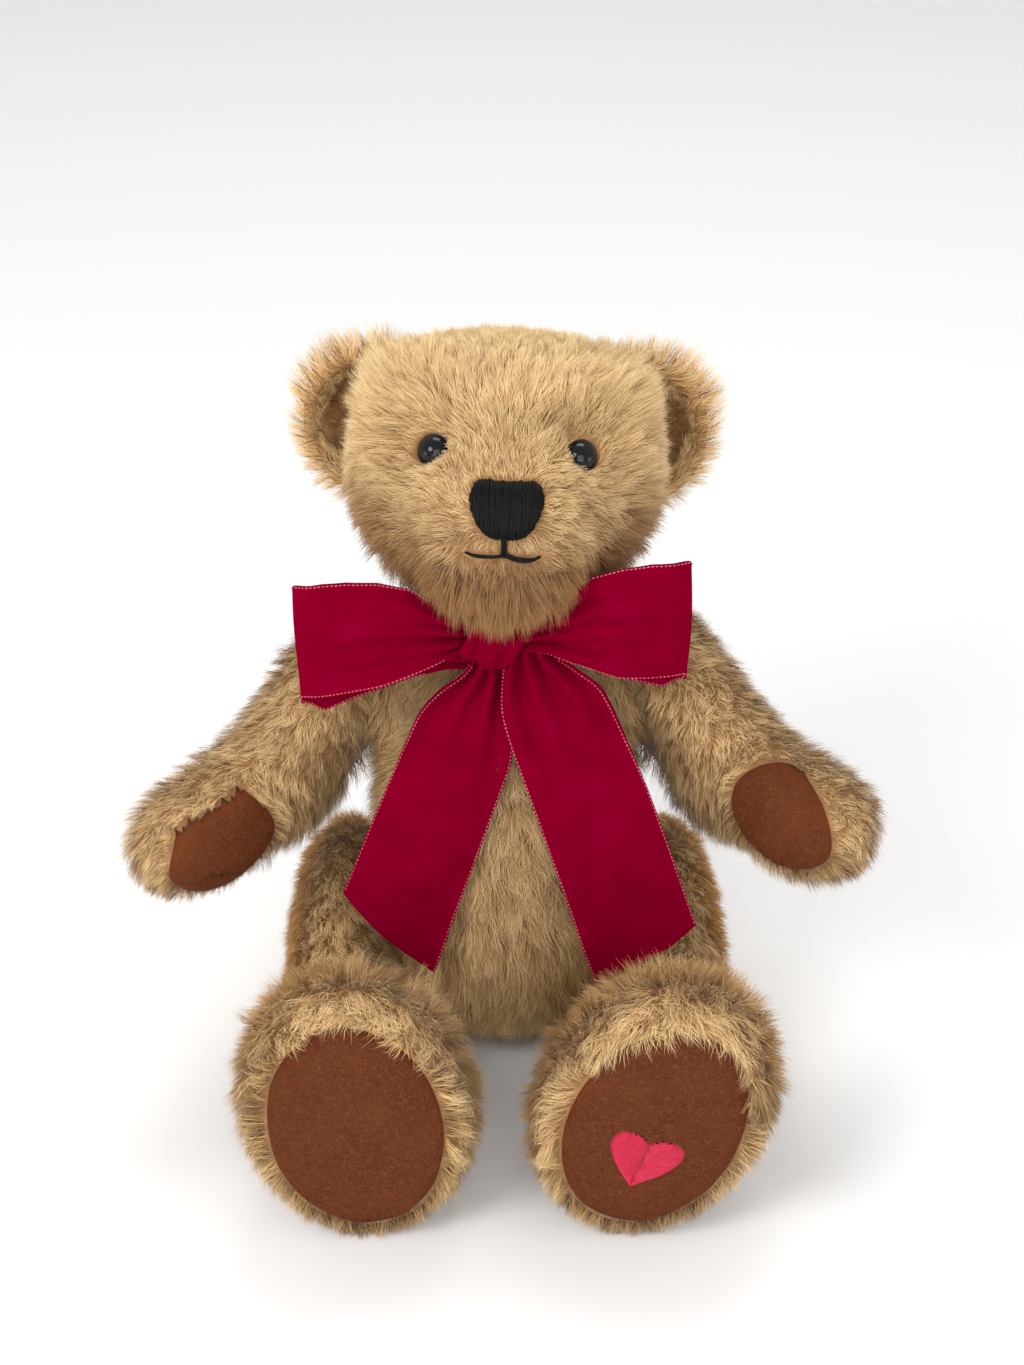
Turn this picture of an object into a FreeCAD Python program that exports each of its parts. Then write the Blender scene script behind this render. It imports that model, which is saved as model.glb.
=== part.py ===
import FreeCAD, Part

import math
import os

# Jointed mohair teddy bear, sitting. Millimetres, +Z up, the bear faces -Y, its own left is +X.
# The origin is the middle of the flat seat under the body.

Vec = FreeCAD.Vector
X_AXIS = Vec(1, 0, 0)
Y_AXIS = Vec(0, 1, 0)
Z_AXIS = Vec(0, 0, 1)
BIG = 400.0  # side of the blocks that halve and trim the shapes

# Cloth and stuffing
SKIN = 3.0  # mohair cloth with the pressed-down root of its pile
STUFFING_GAP = 0.3  # between a skin and its stuffing
JOINT_GAP = 0.2  # each side of the plane where two skins meet at a joint
RING_POINTS = 16  # points on each cross-section
LEAST_SHARE = 0.5  # an inner cross-section keeps at least this share of the outer one

# Disc joints: hardboard discs, steel washers, cotter pins
DISC_THICK = 3.0
DISC_PLAY = 0.1  # between a disc and the cloth
SEAT_PLAY = 1.0  # round a disc, inside the cloth drawn over it
SEAT_DEPTH = 12.0  # depth of the flat drum that the cloth forms over a disc
WASHER_THICK = 0.8
WASHER_RADIUS = 5.0
PIN_RADIUS = 1.2
PIN_PLAY = 0.08
CURL_RADIUS = 2.6
CURL_WIRE = 0.9
CURL_STAND_OFF = 1.4
PIN_HEAD_HALF = 4.0  # half the length of the cross-bar at the pin's head
PIN_HOLE_HALF = 20.0  # half the length of the straight bore through skins, discs and stuffing
POCKET_PLAY = 1.0
POCKET_START = 1.0  # inside the skin, so that the pocket opens onto it
NECK_DISC_RADIUS = 13.0
SHOULDER_DISC_RADIUS = 12.0
HIP_DISC_RADIUS = 15.0
FLAT_REACH = 48.0  # how far along a limb its inner side is pressed flat against the body

# Where the joints are, for the bear's left side; the right side mirrors them
NECK = Vec(0, 17, 157)
NECK_LEAN = 12.0  # degrees the neck's axis leans back
SHOULDER = Vec(35.5, 10, 119)
SHOULDER_RISE = 25.0  # degrees the shoulder's axis points upwards
SHOULDER_SWEEP = 18.0  # degrees the shoulder's axis points backwards
HIP = Vec(37, 8, 31)
ARM_DROP = {"left": 21.0, "right": 31.0}  # degrees below level at rest
FOOT_TURN = {"left": 20.0, "right": 7.0}  # degrees the foot rolls outwards
SIDES = {"left": 1, "right": -1}

# Head: its centre and how far it is tipped back
HEAD_CENTRE = Vec(0, 24, 192)
HEAD_TIP = 14.0
HEAD_ROLL = 2.5
CROWN_SQUARE = 0.8  # 1 makes the head's upper half a plain oval, less gives it fuller corners

# Cross-sections: distance along, half width, half height, centre across, centre up, share of roll
TORSO = [
    (0.0, 22.0, 17.0, 0, 9.0, 0),
    (5.0, 31.0, 26.0, 0, 7.0, 0),
    (15.0, 38.0, 34.5, 0, 4.0, 0),
    (33.0, 41.5, 39.5, 0, 2.0, 0),
    (57.0, 41.5, 40.5, 0, 1.5, 0),
    (82.0, 39.5, 37.0, 0, 4.0, 0),
    (108.0, 36.5, 32.0, 0, 8.0, 0),
    (130.0, 31.0, 27.0, 0, 12.0, 0),
    (148.0, 22.5, 21.5, 0, 15.5, 0),
    (164.0, 15.0, 15.0, 0, 17.5, 0),
]
ARM = [
    (-21.0, 0, 0, 12.5, 0, 0),
    (-18.5, 6.0, 9.5, 12.5, 0, 0),
    (-9.0, 12.0, 17.5, 13.0, 0, 0),
    (6.0, 14.5, 20.5, 14.3, -0.5, 0),
    (24.0, 15.0, 19.5, 15.2, -1.5, 0),
    (42.0, 15.0, 18.5, 17.0, -2.0, 0),
    (58.0, 15.5, 18.0, 20.0, -2.0, 0),
    (72.0, 17.0, 18.5, 23.5, -2.0, 0),
    (84.0, 15.5, 16.0, 26.0, -2.0, 0),
    (92.0, 9.5, 11.0, 28.0, -1.5, 0),
    (94.5, 3.0, 3.5, 28.5, -1.5, 0),
]
LEG = [
    (-30.0, 0, 0, 14.0, 0, 0),
    (-27.0, 6.5, 12.5, 13.0, 0, 0),
    (-15.0, 12.5, 24.5, 13.5, 0, 0),
    (2.0, 15.0, 30.0, 14.3, 0, 0),
    (20.0, 15.2, 29.0, 14.7, -0.8, 0),
    (40.0, 15.2, 26.0, 15.2, -4.0, 0),
    (60.0, 17.0, 23.0, 13.0, -7.5, 0),
    (78.0, 19.5, 21.5, 10.0, -9.2, 0.3),
    (92.0, 25.0, 27.5, 7.0, -3.2, 0.7),
    (104.0, 30.0, 38.0, 6.0, 7.5, 1),
    (114.0, 31.5, 42.0, 6.0, 11.2, 1),
    (121.5, 29.5, 39.8, 6.0, 11.2, 1),
    (126.5, 23.5, 32.5, 6.0, 11.2, 1),
]
HEAD = [
    (-40.0, 3.0, 3.0, 0, 0, 0),
    (-37.0, 15.0, 13.0, 0, -1.0, 0),
    (-27.0, 31.0, 26.0, 0, -1.5, 0),
    (-11.0, 41.5, 34.5, 0, -2.0, 0),
    (7.0, 44.5, 36.5, 0, -3.0, 0),
    (23.0, 43.5, 35.5, 0, -4.5, 0),
    (36.0, 38.0, 31.0, 0, -8.0, 0),
    (47.0, 27.5, 24.5, 0, -13.0, 0),
    (57.0, 21.5, 20.0, 0, -16.0, 0),
    (64.0, 14.5, 14.0, 0, -16.5, 0),
    (67.0, 3.0, 3.0, 0, -16.5, 0),
]

# Where the plane of a limb's front and back seams lies, out from the joint
ARM_SEAM = 16.0
LEG_SEAM = 13.0

# Pads
FOOT_PAD_HALF_WIDTH = 25.5
FOOT_PAD_HALF_LENGTH = 36.0
FOOT_PAD_DEPTH = 18.0
PAW_PAD_HALF_WIDTH = 13.0
PAW_PAD_HALF_LENGTH = 17.5
PAW_PAD_DEPTH = 40.0
PAW_PAD_AT = Vec(21, -74, 3)  # in the arm's frame
PAW_PAD_FACING = {"left": Vec(-0.66, -0.62, 0.50), "right": Vec(-0.66, -0.62, 0.05)}

# Face
EYE_RADIUS = 5.1
EYE_AT = Vec(21.0, -42.2, 5.8)
EYE_FACING = Vec(0.34, -0.92, 0.20)
EYE_PLAY = 0.15
SHANK_RADIUS = 0.8
SHANK_LENGTH = 9.0
NOSE_HALF_TOP = 10.5
NOSE_HALF_BOTTOM = 6.5
NOSE_TOP = 1.0
NOSE_BOTTOM = -15.0
NOSE_ROUND = 4.0
NOSE_THICK = 2.0
NOSE_BEVEL = 1.2
STITCH_THICK = 1.1
STITCH_HALF = 0.8
MOUTH_HEIGHT = -20.3
MOUTH_REACH = 11.0
MOUTH_DIP = 1.2
MUZZLE_CUT = (-74.0, -34.0)  # the depth range of the thread outlines, in front of the head's centre
GUSSET_NOSE_HALF = 9.0
GUSSET_BACK_HALF = 20.0
GUSSET_LOW = -14.5
GUSSET_FRONT = -75.0
GUSSET_END = 50.0
GUSSET_TALL = 70.0

# Ears
EAR_RADIUS = 22.5
EAR_DEPTH = 11.0
EAR_LAYER = 1.9
EAR_AT = Vec(41.2, 2.0, 5.0)
EAR_SWING = 14.0  # degrees the hollow turns outwards

# Ribbon
RIBBON_WIDTH = 36.0
RIBBON_THICK = 1.3
RIBBON_GAP = 0.3  # between one piece of the bow and the next
BAND_DROP = 5.0  # the band's middle below the neck joint
BAND_HALF_HEIGHT = 4.5
BAND_INNER = 18.0
BAND_OUTER = 22.5
KNOT_AT = Vec(-2.0, -21.0, 148.0)
KNOT_HALF = Vec(7.5, 5.5, 8.0)
LOOP_REACH = {"left": 53.0, "right": -62.0}
LOOP_RISE = {"left": 14.0, "right": 4.0}
LOOP_BACK = 5.0  # the outer end lies this far in front of the knot
LOOP_SECTIONS = [  # share of the way out, half height, depth
    (0.08, 6.0, 5.0),
    (0.45, 13.0, 12.0),
    (0.85, RIBBON_WIDTH / 2, 12.0),
    (1.0, RIBBON_WIDTH / 2, 7.0),
]
LOOP_OPEN = 10.0  # how far the hollow's cutter stands out above and below the loop
TAIL_SPLAY = {"left": -21.0, "right": 22.0}
TAIL_LENGTH = {"left": 104.0, "right": 98.0}
TAIL_START = {"left": 9.0, "right": -3.0}
TAIL_LINE = [  # share of the way down, how far in front of the knot's middle
    (0.0, 2.0),
    (0.12, -5.0),
    (0.3, -15.0),
    (0.55, -21.0),
    (0.8, -23.5),
    (1.0, -26.5),
]
TAIL_END_SLOPE = {"left": 0.4, "right": -0.4}  # slope of the slanted end cut
TAIL_END_RISE = 8.0  # the cut's middle above the longest point
TAIL_TOP_HALF = 8.0  # half the tail's width at the knot
TAIL_GATHER = 32.0  # how far below the knot the tail reaches its full width
TAIL_LAYER = {"left": 1.8, "right": 0.0}  # the left tail lies over the right one

# Heart on the left foot
HEART_HALF = 11.0
HEART_RAISE = 0.8
HEART_DROP = 9.0  # below the middle of the pad
HEART_SCALE = HEART_HALF / 16.0  # the heart's curve is 16 units from its middle to its side
HEART_POINTS = 24
HEART_DEPTH = 12.0  # how far the cutter reaches each side of the sole


def frame_from(origin, first, second):
    """A placement whose x and y run along the two directions given, as nearly as they can."""
    x = Vec(first).normalize()
    z = x.cross(second).normalize()
    y = z.cross(x)
    matrix = FreeCAD.Matrix(
        x.x, y.x, z.x, origin.x,
        x.y, y.y, z.y, origin.y,
        x.z, y.z, z.z, origin.z,
        0, 0, 0, 1,
    )
    return FreeCAD.Placement(matrix)


def turned(axis, degrees):
    return FreeCAD.Placement(Vec(0, 0, 0), FreeCAD.Rotation(axis, degrees))


def moved(shape, placement):
    copy = shape.copy()
    copy.Placement = placement.multiply(copy.Placement)
    return copy


def mirrored(shape, side):
    """The shape as modelled for the left side, or its mirror image for the right side."""
    return shape if side > 0 else shape.mirror(Vec(0, 0, 0), X_AXIS)


def ring(middle, half_width, half_height, across, up, roll, square):
    """One closed oval cross-section, its upper half squarer if square is under 1."""
    points = []
    for i in range(RING_POINTS):
        angle = 2 * math.pi * i / RING_POINTS
        cosine = math.cos(angle)
        sine = math.sin(angle)
        power = square if sine > 0 else 1.0
        a = half_width * math.copysign(abs(cosine) ** power, cosine)
        b = half_height * math.copysign(abs(sine) ** power, sine)
        turned_a = a * math.cos(roll) + b * math.sin(roll)
        turned_b = b * math.cos(roll) - a * math.sin(roll)
        points.append(middle + across * turned_a + up * turned_b)
    curve = Part.BSplineCurve()
    curve.interpolate(Points=points, PeriodicFlag=True)
    return Part.Wire([curve.toShape()])


def stuffed(sections, along, up, inset=0.0, roll_degrees=0.0, square=1.0):
    """A solid through the cross-sections, its surface moved inwards by inset."""
    first = sections[0][0]
    last = sections[-1][0]
    middle = (first + last) / 2
    shrink = (last - first - 2 * inset) / (last - first)
    rings = []
    for t, half_width, half_height, centre_across, centre_up, share in sections:
        distance = middle + (t - middle) * shrink
        centre = along * distance + X_AXIS * centre_across + up * centre_up
        if half_width == 0:
            rings.append(Part.Vertex(centre))
            continue
        roll = math.radians(roll_degrees * share)
        width = max(half_width - inset, half_width * LEAST_SHARE)
        height = max(half_height - inset, half_height * LEAST_SHARE)
        rings.append(ring(centre, width, height, X_AXIS, up, roll, square))
    return Part.makeLoft(rings, True, False)


def beyond(point, direction):
    """A big block that fills the space on the far side of a plane."""
    block = Part.makeBox(BIG, BIG, BIG, Vec(0, -BIG / 2, -BIG / 2))
    other = Z_AXIS if abs(direction.z) < 0.9 else Y_AXIS
    block.Placement = frame_from(point, direction, other)
    return block


def rod(start, direction, radius, length):
    return Part.makeCylinder(radius, length, start, direction)


def oval_prism(half_width, half_length, low, high):
    """An oval prism along Z, its long axis along Y."""
    oval = Part.Ellipse(Vec(0, 0, 0), half_length, half_width)
    block = Part.Face(Part.Wire([oval.toShape()])).extrude(Z_AXIS * (high - low))
    block.translate(Z_AXIS * low)
    return moved(block, turned(Z_AXIS, 90))


def prism(outline, direction):
    """A prism over a closed outline of straight lines."""
    wire = Part.makePolygon(outline + [outline[0]])
    return Part.Face(wire).extrude(direction)


# Joint hardware, along local x: the turning part is on +x, the part that holds it on -x

def disc_face():
    """How far from the joint's plane the discs start."""
    return JOINT_GAP + SKIN + DISC_PLAY


def stack_face():
    """How far from the joint's plane the washers end."""
    return disc_face() + DISC_THICK + WASHER_THICK


def disc_seat(radius, side, inset):
    """The flat drum that the cloth forms where it is drawn over a disc."""
    start = X_AXIS * side * (JOINT_GAP + inset)
    drum = radius + SKIN + SEAT_PLAY - inset
    return rod(start, X_AXIS * side, drum, SEAT_DEPTH - 2 * inset)


def disc(radius, side):
    start = side * disc_face()
    plate = rod(X_AXIS * start, X_AXIS * side, radius, DISC_THICK)
    return plate.cut(pin_hole())


def washer(side):
    start = side * (disc_face() + DISC_THICK)
    plate = rod(X_AXIS * start, X_AXIS * side, WASHER_RADIUS, WASHER_THICK)
    return plate.cut(pin_hole())


def pin_hole():
    return rod(X_AXIS * -PIN_HOLE_HALF, X_AXIS, PIN_RADIUS + PIN_PLAY, 2 * PIN_HOLE_HALF)


def cotter_pin():
    """A shank with a cross-bar head and two legs curled back over the far washer."""
    face = stack_face()
    bend = face + CURL_STAND_OFF
    shank = rod(X_AXIS * -bend, X_AXIS, PIN_RADIUS, bend + face + PIN_RADIUS)
    bar_at = Vec(face + PIN_RADIUS, 0, -PIN_HEAD_HALF)
    shape = shank.fuse(rod(bar_at, Z_AXIS, PIN_RADIUS, 2 * PIN_HEAD_HALF))
    for way in (1, -1):
        ring_at = Vec(-bend, 0, way * CURL_RADIUS)
        curl = Part.makeTorus(CURL_RADIUS, CURL_WIRE, ring_at, Y_AXIS)
        curl = curl.common(beyond(X_AXIS * -bend, X_AXIS * -1))
        shape = shape.fuse(curl)
    return shape.removeSplitter()


def pocket(radius, side):
    """The room in the stuffing for a disc, its washer and the end of the pin."""
    face = stack_face()
    way = X_AXIS * side
    start = way * POCKET_START
    room = rod(start, way, radius + POCKET_PLAY, face - POCKET_START)
    depth = face + CURL_STAND_OFF + CURL_RADIUS + CURL_WIRE + POCKET_PLAY
    inner = 2 * CURL_RADIUS + CURL_WIRE + POCKET_PLAY
    return room.fuse(rod(start, way, inner, depth))


# Frames of the joints: local x is the joint's axis, pointing out of the body

def shoulder_frame(side):
    rise = math.radians(SHOULDER_RISE)
    sweep = math.radians(SHOULDER_SWEEP)
    out = math.cos(rise) * math.cos(sweep)
    axis = Vec(side * out, math.cos(rise) * math.sin(sweep), math.sin(rise))
    return axis, Vec(side * SHOULDER.x, SHOULDER.y, SHOULDER.z)


def hip_frame(side):
    return Vec(side, 0, 0), Vec(side * HIP.x, HIP.y, HIP.z)


def neck_frame():
    lean = math.radians(NECK_LEAN)
    return Vec(0, math.sin(lean), math.cos(lean)), NECK


def joint_place(axis, origin):
    return frame_from(origin, axis, Y_AXIS)


JOINTS = {
    "neck": (neck_frame(), NECK_DISC_RADIUS),
    "left_shoulder": (shoulder_frame(1), SHOULDER_DISC_RADIUS),
    "right_shoulder": (shoulder_frame(-1), SHOULDER_DISC_RADIUS),
    "left_hip": (hip_frame(1), HIP_DISC_RADIUS),
    "right_hip": (hip_frame(-1), HIP_DISC_RADIUS),
}


# Body

def torso_solid(inset):
    """The body's shape, flattened where the head, arms and legs meet it."""
    sections = []
    for t, half_width, half_depth, across, back, share in TORSO:
        height = max(t, inset)
        sections.append((height, half_width - inset, half_depth - inset, across, back, share))
    solid = stuffed(sections, Z_AXIS, Y_AXIS)
    seats = []
    far_sides = []
    for (axis, origin), radius in JOINTS.values():
        seats.append(moved(disc_seat(radius, -1, inset), joint_place(axis, origin)))
        far_sides.append(beyond(origin - axis * (JOINT_GAP + inset), axis))
    return solid.cut(far_sides).fuse(seats)


def build_torso():
    holes = []
    pockets = []
    nodes = {}
    washers = []
    for name, ((axis, origin), radius) in JOINTS.items():
        place = joint_place(axis, origin)
        holes.append(moved(pin_hole(), place))
        pockets.append(moved(pocket(radius, -1), place))
        nodes[name + "_body_disc"] = moved(disc(radius, -1), place)
        washers.append(moved(washer(-1), place))
    nodes["body_washers"] = Part.makeCompound(washers)
    outer = torso_solid(0)
    skin = outer.cut(torso_solid(SKIN)).cut(holes)
    nodes["body_left_panel"] = skin.common(beyond(Vec(0, 0, 0), X_AXIS))
    nodes["body_right_panel"] = skin.common(beyond(Vec(0, 0, 0), X_AXIS * -1))
    nodes["body_stuffing"] = torso_solid(SKIN + STUFFING_GAP).cut(pockets + holes)
    return nodes, outer


# Limbs, modelled with the joint at the origin, x outwards and the limb along -Y

def limb_solid(sections, inset, roll, disc_radius):
    solid = stuffed(sections, Y_AXIS * -1, Z_AXIS, inset, roll)
    solid = solid.fuse(disc_seat(disc_radius, 1, inset))
    inner_side = beyond(X_AXIS * (JOINT_GAP + inset), X_AXIS * -1)
    return solid.cut(inner_side.common(beyond(Y_AXIS * -FLAT_REACH, Y_AXIS)))


def build_limb(sections, pad_prism, seam_at, disc_radius, roll):
    """The pieces of one limb, as modelled for the left side."""
    outer = limb_solid(sections, 0, roll, disc_radius)
    skin = outer.cut(limb_solid(sections, SKIN, roll, disc_radius)).cut(pin_hole())
    cloth = skin.cut(pad_prism)
    seam = Vec(seam_at, 0, 0)
    stuffing = limb_solid(sections, SKIN + STUFFING_GAP, roll, disc_radius)
    return {
        "outer_panel": cloth.common(beyond(seam, X_AXIS)),
        "inner_panel": cloth.common(beyond(seam, X_AXIS * -1)),
        "pad": skin.common(pad_prism),
        "stuffing": stuffing.cut([pocket(disc_radius, 1), pin_hole()]),
        "disc": disc(disc_radius, 1),
        "washer": washer(1),
        "pin": cotter_pin(),
    }, outer


def foot_place(roll):
    """Where the sole's middle is in the leg's frame: x across the sole, y towards the toes."""
    t, _, _, across, up, _ = LEG[-1]
    sole = FreeCAD.Placement(Vec(across, -t, up), FreeCAD.Rotation(X_AXIS, 90))
    return sole.multiply(turned(Z_AXIS, -roll))


def foot_pad_prism(roll):
    oval = oval_prism(FOOT_PAD_HALF_WIDTH, FOOT_PAD_HALF_LENGTH, -FOOT_PAD_DEPTH, FOOT_PAD_DEPTH)
    return moved(oval, foot_place(roll))


def paw_pad_prism(side_name):
    oval = oval_prism(PAW_PAD_HALF_WIDTH, PAW_PAD_HALF_LENGTH, 0, PAW_PAD_DEPTH)
    return moved(oval, pad_place(side_name))


def pad_place(side_name):
    """A frame with z along the palm's outward direction and y towards the paw's tip."""
    facing = Vec(PAW_PAD_FACING[side_name]).normalize()
    across = (Y_AXIS * -1).cross(facing).normalize()
    return frame_from(PAW_PAD_AT, across, facing.cross(across))


def heart_prism():
    """A plump heart, its point towards -Y."""
    points = []
    for i in range(HEART_POINTS):
        angle = 2 * math.pi * i / HEART_POINTS
        across = 16 * math.sin(angle) ** 3
        up = 13 * math.cos(angle) - 5 * math.cos(2 * angle) - 2 * math.cos(3 * angle)
        points.append(Vec(across * HEART_SCALE, up * HEART_SCALE, 0))
    lobes = Part.BSplineCurve()
    half = HEART_POINTS // 2
    lobes.interpolate(Points=points[half:] + points[: half + 1])
    return Part.Face(Part.Wire([lobes.toShape()])).extrude(Z_AXIS * 2 * HEART_DEPTH)


def build_legs():
    nodes = {}
    for side_name, side in SIDES.items():
        roll = FOOT_TURN[side_name]
        pieces, outer = build_limb(LEG, foot_pad_prism(roll), LEG_SEAM, HIP_DISC_RADIUS, roll)
        place = FreeCAD.Placement(Vec(side * HIP.x, HIP.y, HIP.z), FreeCAD.Rotation())
        if side_name == "left":
            heart = heart_prism()
            heart.translate(Vec(0, -HEART_DROP, -HEART_DEPTH))
            raised = stuffed(LEG, Y_AXIS * -1, Z_AXIS, -HEART_RAISE, roll)
            heart = moved(heart, foot_place(roll)).common(raised).cut(outer)
            nodes["heart_embroidery"] = moved(heart, place)
        for piece, shape in pieces.items():
            name = "foot_pad" if piece == "pad" else "leg_" + piece
            nodes[side_name + "_" + name] = moved(mirrored(shape, side), place)
    return nodes


def arm_place(side_name):
    """The arm's frame in the bear: along -Y of the frame, x along the shoulder's axis."""
    side = SIDES[side_name]
    swing = turned(X_AXIS, ARM_DROP[side_name])
    rise = turned(Y_AXIS, -side * SHOULDER_RISE)
    sweep = turned(Z_AXIS, side * SHOULDER_SWEEP)
    origin = Vec(side * SHOULDER.x, SHOULDER.y, SHOULDER.z)
    turn = sweep.multiply(rise).multiply(swing).Rotation
    return FreeCAD.Placement(origin, turn)


def build_arms():
    nodes = {}
    for side_name, side in SIDES.items():
        pad = paw_pad_prism(side_name)
        pieces, _ = build_limb(ARM, pad, ARM_SEAM, SHOULDER_DISC_RADIUS, 0)
        place = arm_place(side_name)
        for piece, shape in pieces.items():
            name = "paw_pad" if piece == "pad" else "arm_" + piece
            nodes[side_name + "_" + name] = moved(mirrored(shape, side), place)
    return nodes


# Head, modelled around its own centre and then tipped back

def head_place():
    tip = turned(X_AXIS, -HEAD_TIP)
    roll = turned(Y_AXIS, HEAD_ROLL)
    return FreeCAD.Placement(HEAD_CENTRE, roll.multiply(tip).Rotation)


def moved_way(way):
    """A direction of the head's own frame, in the bear."""
    return head_place().Rotation.multVec(way)


def head_shape(inset):
    """The head's shape with its surface moved inwards by inset, not yet cut flat at the neck."""
    shape = stuffed(HEAD, Y_AXIS * -1, Z_AXIS, inset, square=CROWN_SQUARE)
    return moved(shape, head_place())


def head_solid(inset):
    solid = head_shape(inset)
    axis, origin = neck_frame()
    return solid.cut(beyond(origin + axis * (JOINT_GAP + inset), axis * -1))


def eye(side, play=0.0):
    """A domed eye on a shank, or the socket for it if some play is added."""
    centre = Vec(side * EYE_AT.x, EYE_AT.y, EYE_AT.z)
    facing = Vec(side * EYE_FACING.x, EYE_FACING.y, EYE_FACING.z).normalize()
    ball = Part.makeSphere(EYE_RADIUS + play, centre)
    dome = ball.cut(beyond(centre - facing * (1 + play), facing * -1))
    length = SHANK_LENGTH + 2 * play
    return dome.fuse(rod(centre - facing, facing * -1, SHANK_RADIUS + play, length))


def ear_cup(size_loss, side):
    """A solid half bowl, hollow side forwards, smaller by size_loss all round."""
    ball = Part.makeSphere(1.0)
    ball = ball.common(Part.makeBox(4, 4, 4, Vec(-2, 0, -2)))
    scale = FreeCAD.Matrix()
    radius = EAR_RADIUS - size_loss
    scale.scale(Vec(radius, EAR_DEPTH - size_loss, radius))
    bowl = ball.transformGeometry(scale)
    centre = Vec(side * EAR_AT.x, EAR_AT.y, EAR_AT.z)
    return moved(bowl, FreeCAD.Placement(centre, FreeCAD.Rotation(Z_AXIS, side * EAR_SWING)))


def rounded_trapezoid():
    """The nose's outline, seen from the front."""
    half_top = NOSE_HALF_TOP
    half_bottom = NOSE_HALF_BOTTOM
    corner = NOSE_ROUND
    return [
        Vec(-half_top + corner, 0, NOSE_TOP),
        Vec(half_top - corner, 0, NOSE_TOP),
        Vec(half_top - 0.2 * corner, 0, NOSE_TOP - NOSE_BEVEL),
        Vec(half_top, 0, NOSE_TOP - corner),
        Vec(half_top - NOSE_BEVEL, 0, NOSE_TOP - 2.2 * corner),
        Vec(half_bottom + 0.2 * corner, 0, NOSE_BOTTOM + 0.5 * corner),
        Vec(half_bottom - 0.5 * corner, 0, NOSE_BOTTOM),
        Vec(-half_bottom + 0.5 * corner, 0, NOSE_BOTTOM),
        Vec(-half_bottom - 0.2 * corner, 0, NOSE_BOTTOM + 0.5 * corner),
        Vec(-half_top + NOSE_BEVEL, 0, NOSE_TOP - 2.2 * corner),
        Vec(-half_top, 0, NOSE_TOP - corner),
        Vec(-half_top + 0.2 * corner, 0, NOSE_TOP - NOSE_BEVEL),
    ]


def mouth_outline():
    """An upside-down T: one upright stitch and two shallow curved ones."""
    w = STITCH_HALF
    low = MOUTH_HEIGHT
    dip = low - MOUTH_DIP
    return [
        Vec(-w, 0, NOSE_BOTTOM),
        Vec(w, 0, NOSE_BOTTOM),
        Vec(w, 0, low + w),
        Vec(MOUTH_REACH / 2, 0, dip + w),
        Vec(MOUTH_REACH, 0, low + w),
        Vec(MOUTH_REACH, 0, low - w),
        Vec(MOUTH_REACH / 2, 0, dip - w),
        Vec(0, 0, low - w),
        Vec(-MOUTH_REACH / 2, 0, dip - w),
        Vec(-MOUTH_REACH, 0, low - w),
        Vec(-MOUTH_REACH, 0, low + w),
        Vec(-MOUTH_REACH / 2, 0, dip + w),
        Vec(-w, 0, low + w),
    ]


def on_the_muzzle(outline, thickness, outer):
    """A raised patch of thread over an outline on the front of the muzzle."""
    front, back = MUZZLE_CUT
    block = prism(outline, Y_AXIS * (front - back))
    block.translate(Y_AXIS * back)
    return moved(block, head_place()).common(head_shape(-thickness)).cut(outer)


def gusset_block():
    """The space of the strip of cloth that runs from the nose over the crown to the nape."""
    outline = [
        Vec(-GUSSET_NOSE_HALF, GUSSET_FRONT, GUSSET_LOW),
        Vec(GUSSET_NOSE_HALF, GUSSET_FRONT, GUSSET_LOW),
        Vec(GUSSET_BACK_HALF, GUSSET_END, GUSSET_LOW),
        Vec(-GUSSET_BACK_HALF, GUSSET_END, GUSSET_LOW),
    ]
    return moved(prism(outline, Z_AXIS * GUSSET_TALL), head_place())


def build_head():
    axis, origin = neck_frame()
    place = joint_place(axis, origin)
    hole = moved(pin_hole(), place)
    outer = head_solid(0)
    skin = outer.cut(head_solid(SKIN))
    gusset = gusset_block()
    nodes = {}
    eyes = []
    for side_name, side in SIDES.items():
        nodes[side_name + "_eye"] = moved(eye(side), head_place())
        eyes.append(moved(eye(side, EYE_PLAY), head_place()))
        losses = (0, EAR_LAYER, 2 * EAR_LAYER)
        bowls = [moved(ear_cup(loss, side), head_place()) for loss in losses]
        nodes[side_name + "_ear_back"] = bowls[0].cut(bowls[1]).cut(outer)
        nodes[side_name + "_ear_front"] = bowls[1].cut(bowls[2]).cut(outer)
    nodes["head_gusset"] = skin.common(gusset)
    halves = {"left": X_AXIS, "right": X_AXIS * -1}
    for side_name, way in halves.items():
        half = skin.common(beyond(HEAD_CENTRE, moved_way(way))).cut(gusset)
        nodes["head_" + side_name + "_panel"] = half.cut(eyes).cut(hole)
    room = moved(pocket(NECK_DISC_RADIUS, 1), place)
    nodes["head_stuffing"] = head_solid(SKIN + STUFFING_GAP).cut([room, hole] + eyes)
    nodes["head_disc"] = moved(disc(NECK_DISC_RADIUS, 1), place)
    nodes["head_washer"] = moved(washer(1), place)
    nodes["head_pin"] = moved(cotter_pin(), place)
    nodes["nose_stitching"] = on_the_muzzle(rounded_trapezoid(), NOSE_THICK, outer)
    nodes["mouth_stitching"] = on_the_muzzle(mouth_outline(), STITCH_THICK, outer)
    return nodes


# Ribbon: a band round the neck, a knot, two loops and two tails

def neckband(torso_outer):
    axis, origin = neck_frame()
    height = 2 * BAND_HALF_HEIGHT
    base = origin - axis * (BAND_DROP + BAND_HALF_HEIGHT)
    band = rod(base, axis, BAND_OUTER, height).cut(rod(base, axis, BAND_INNER, height))
    return band.cut(torso_outer)


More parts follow.
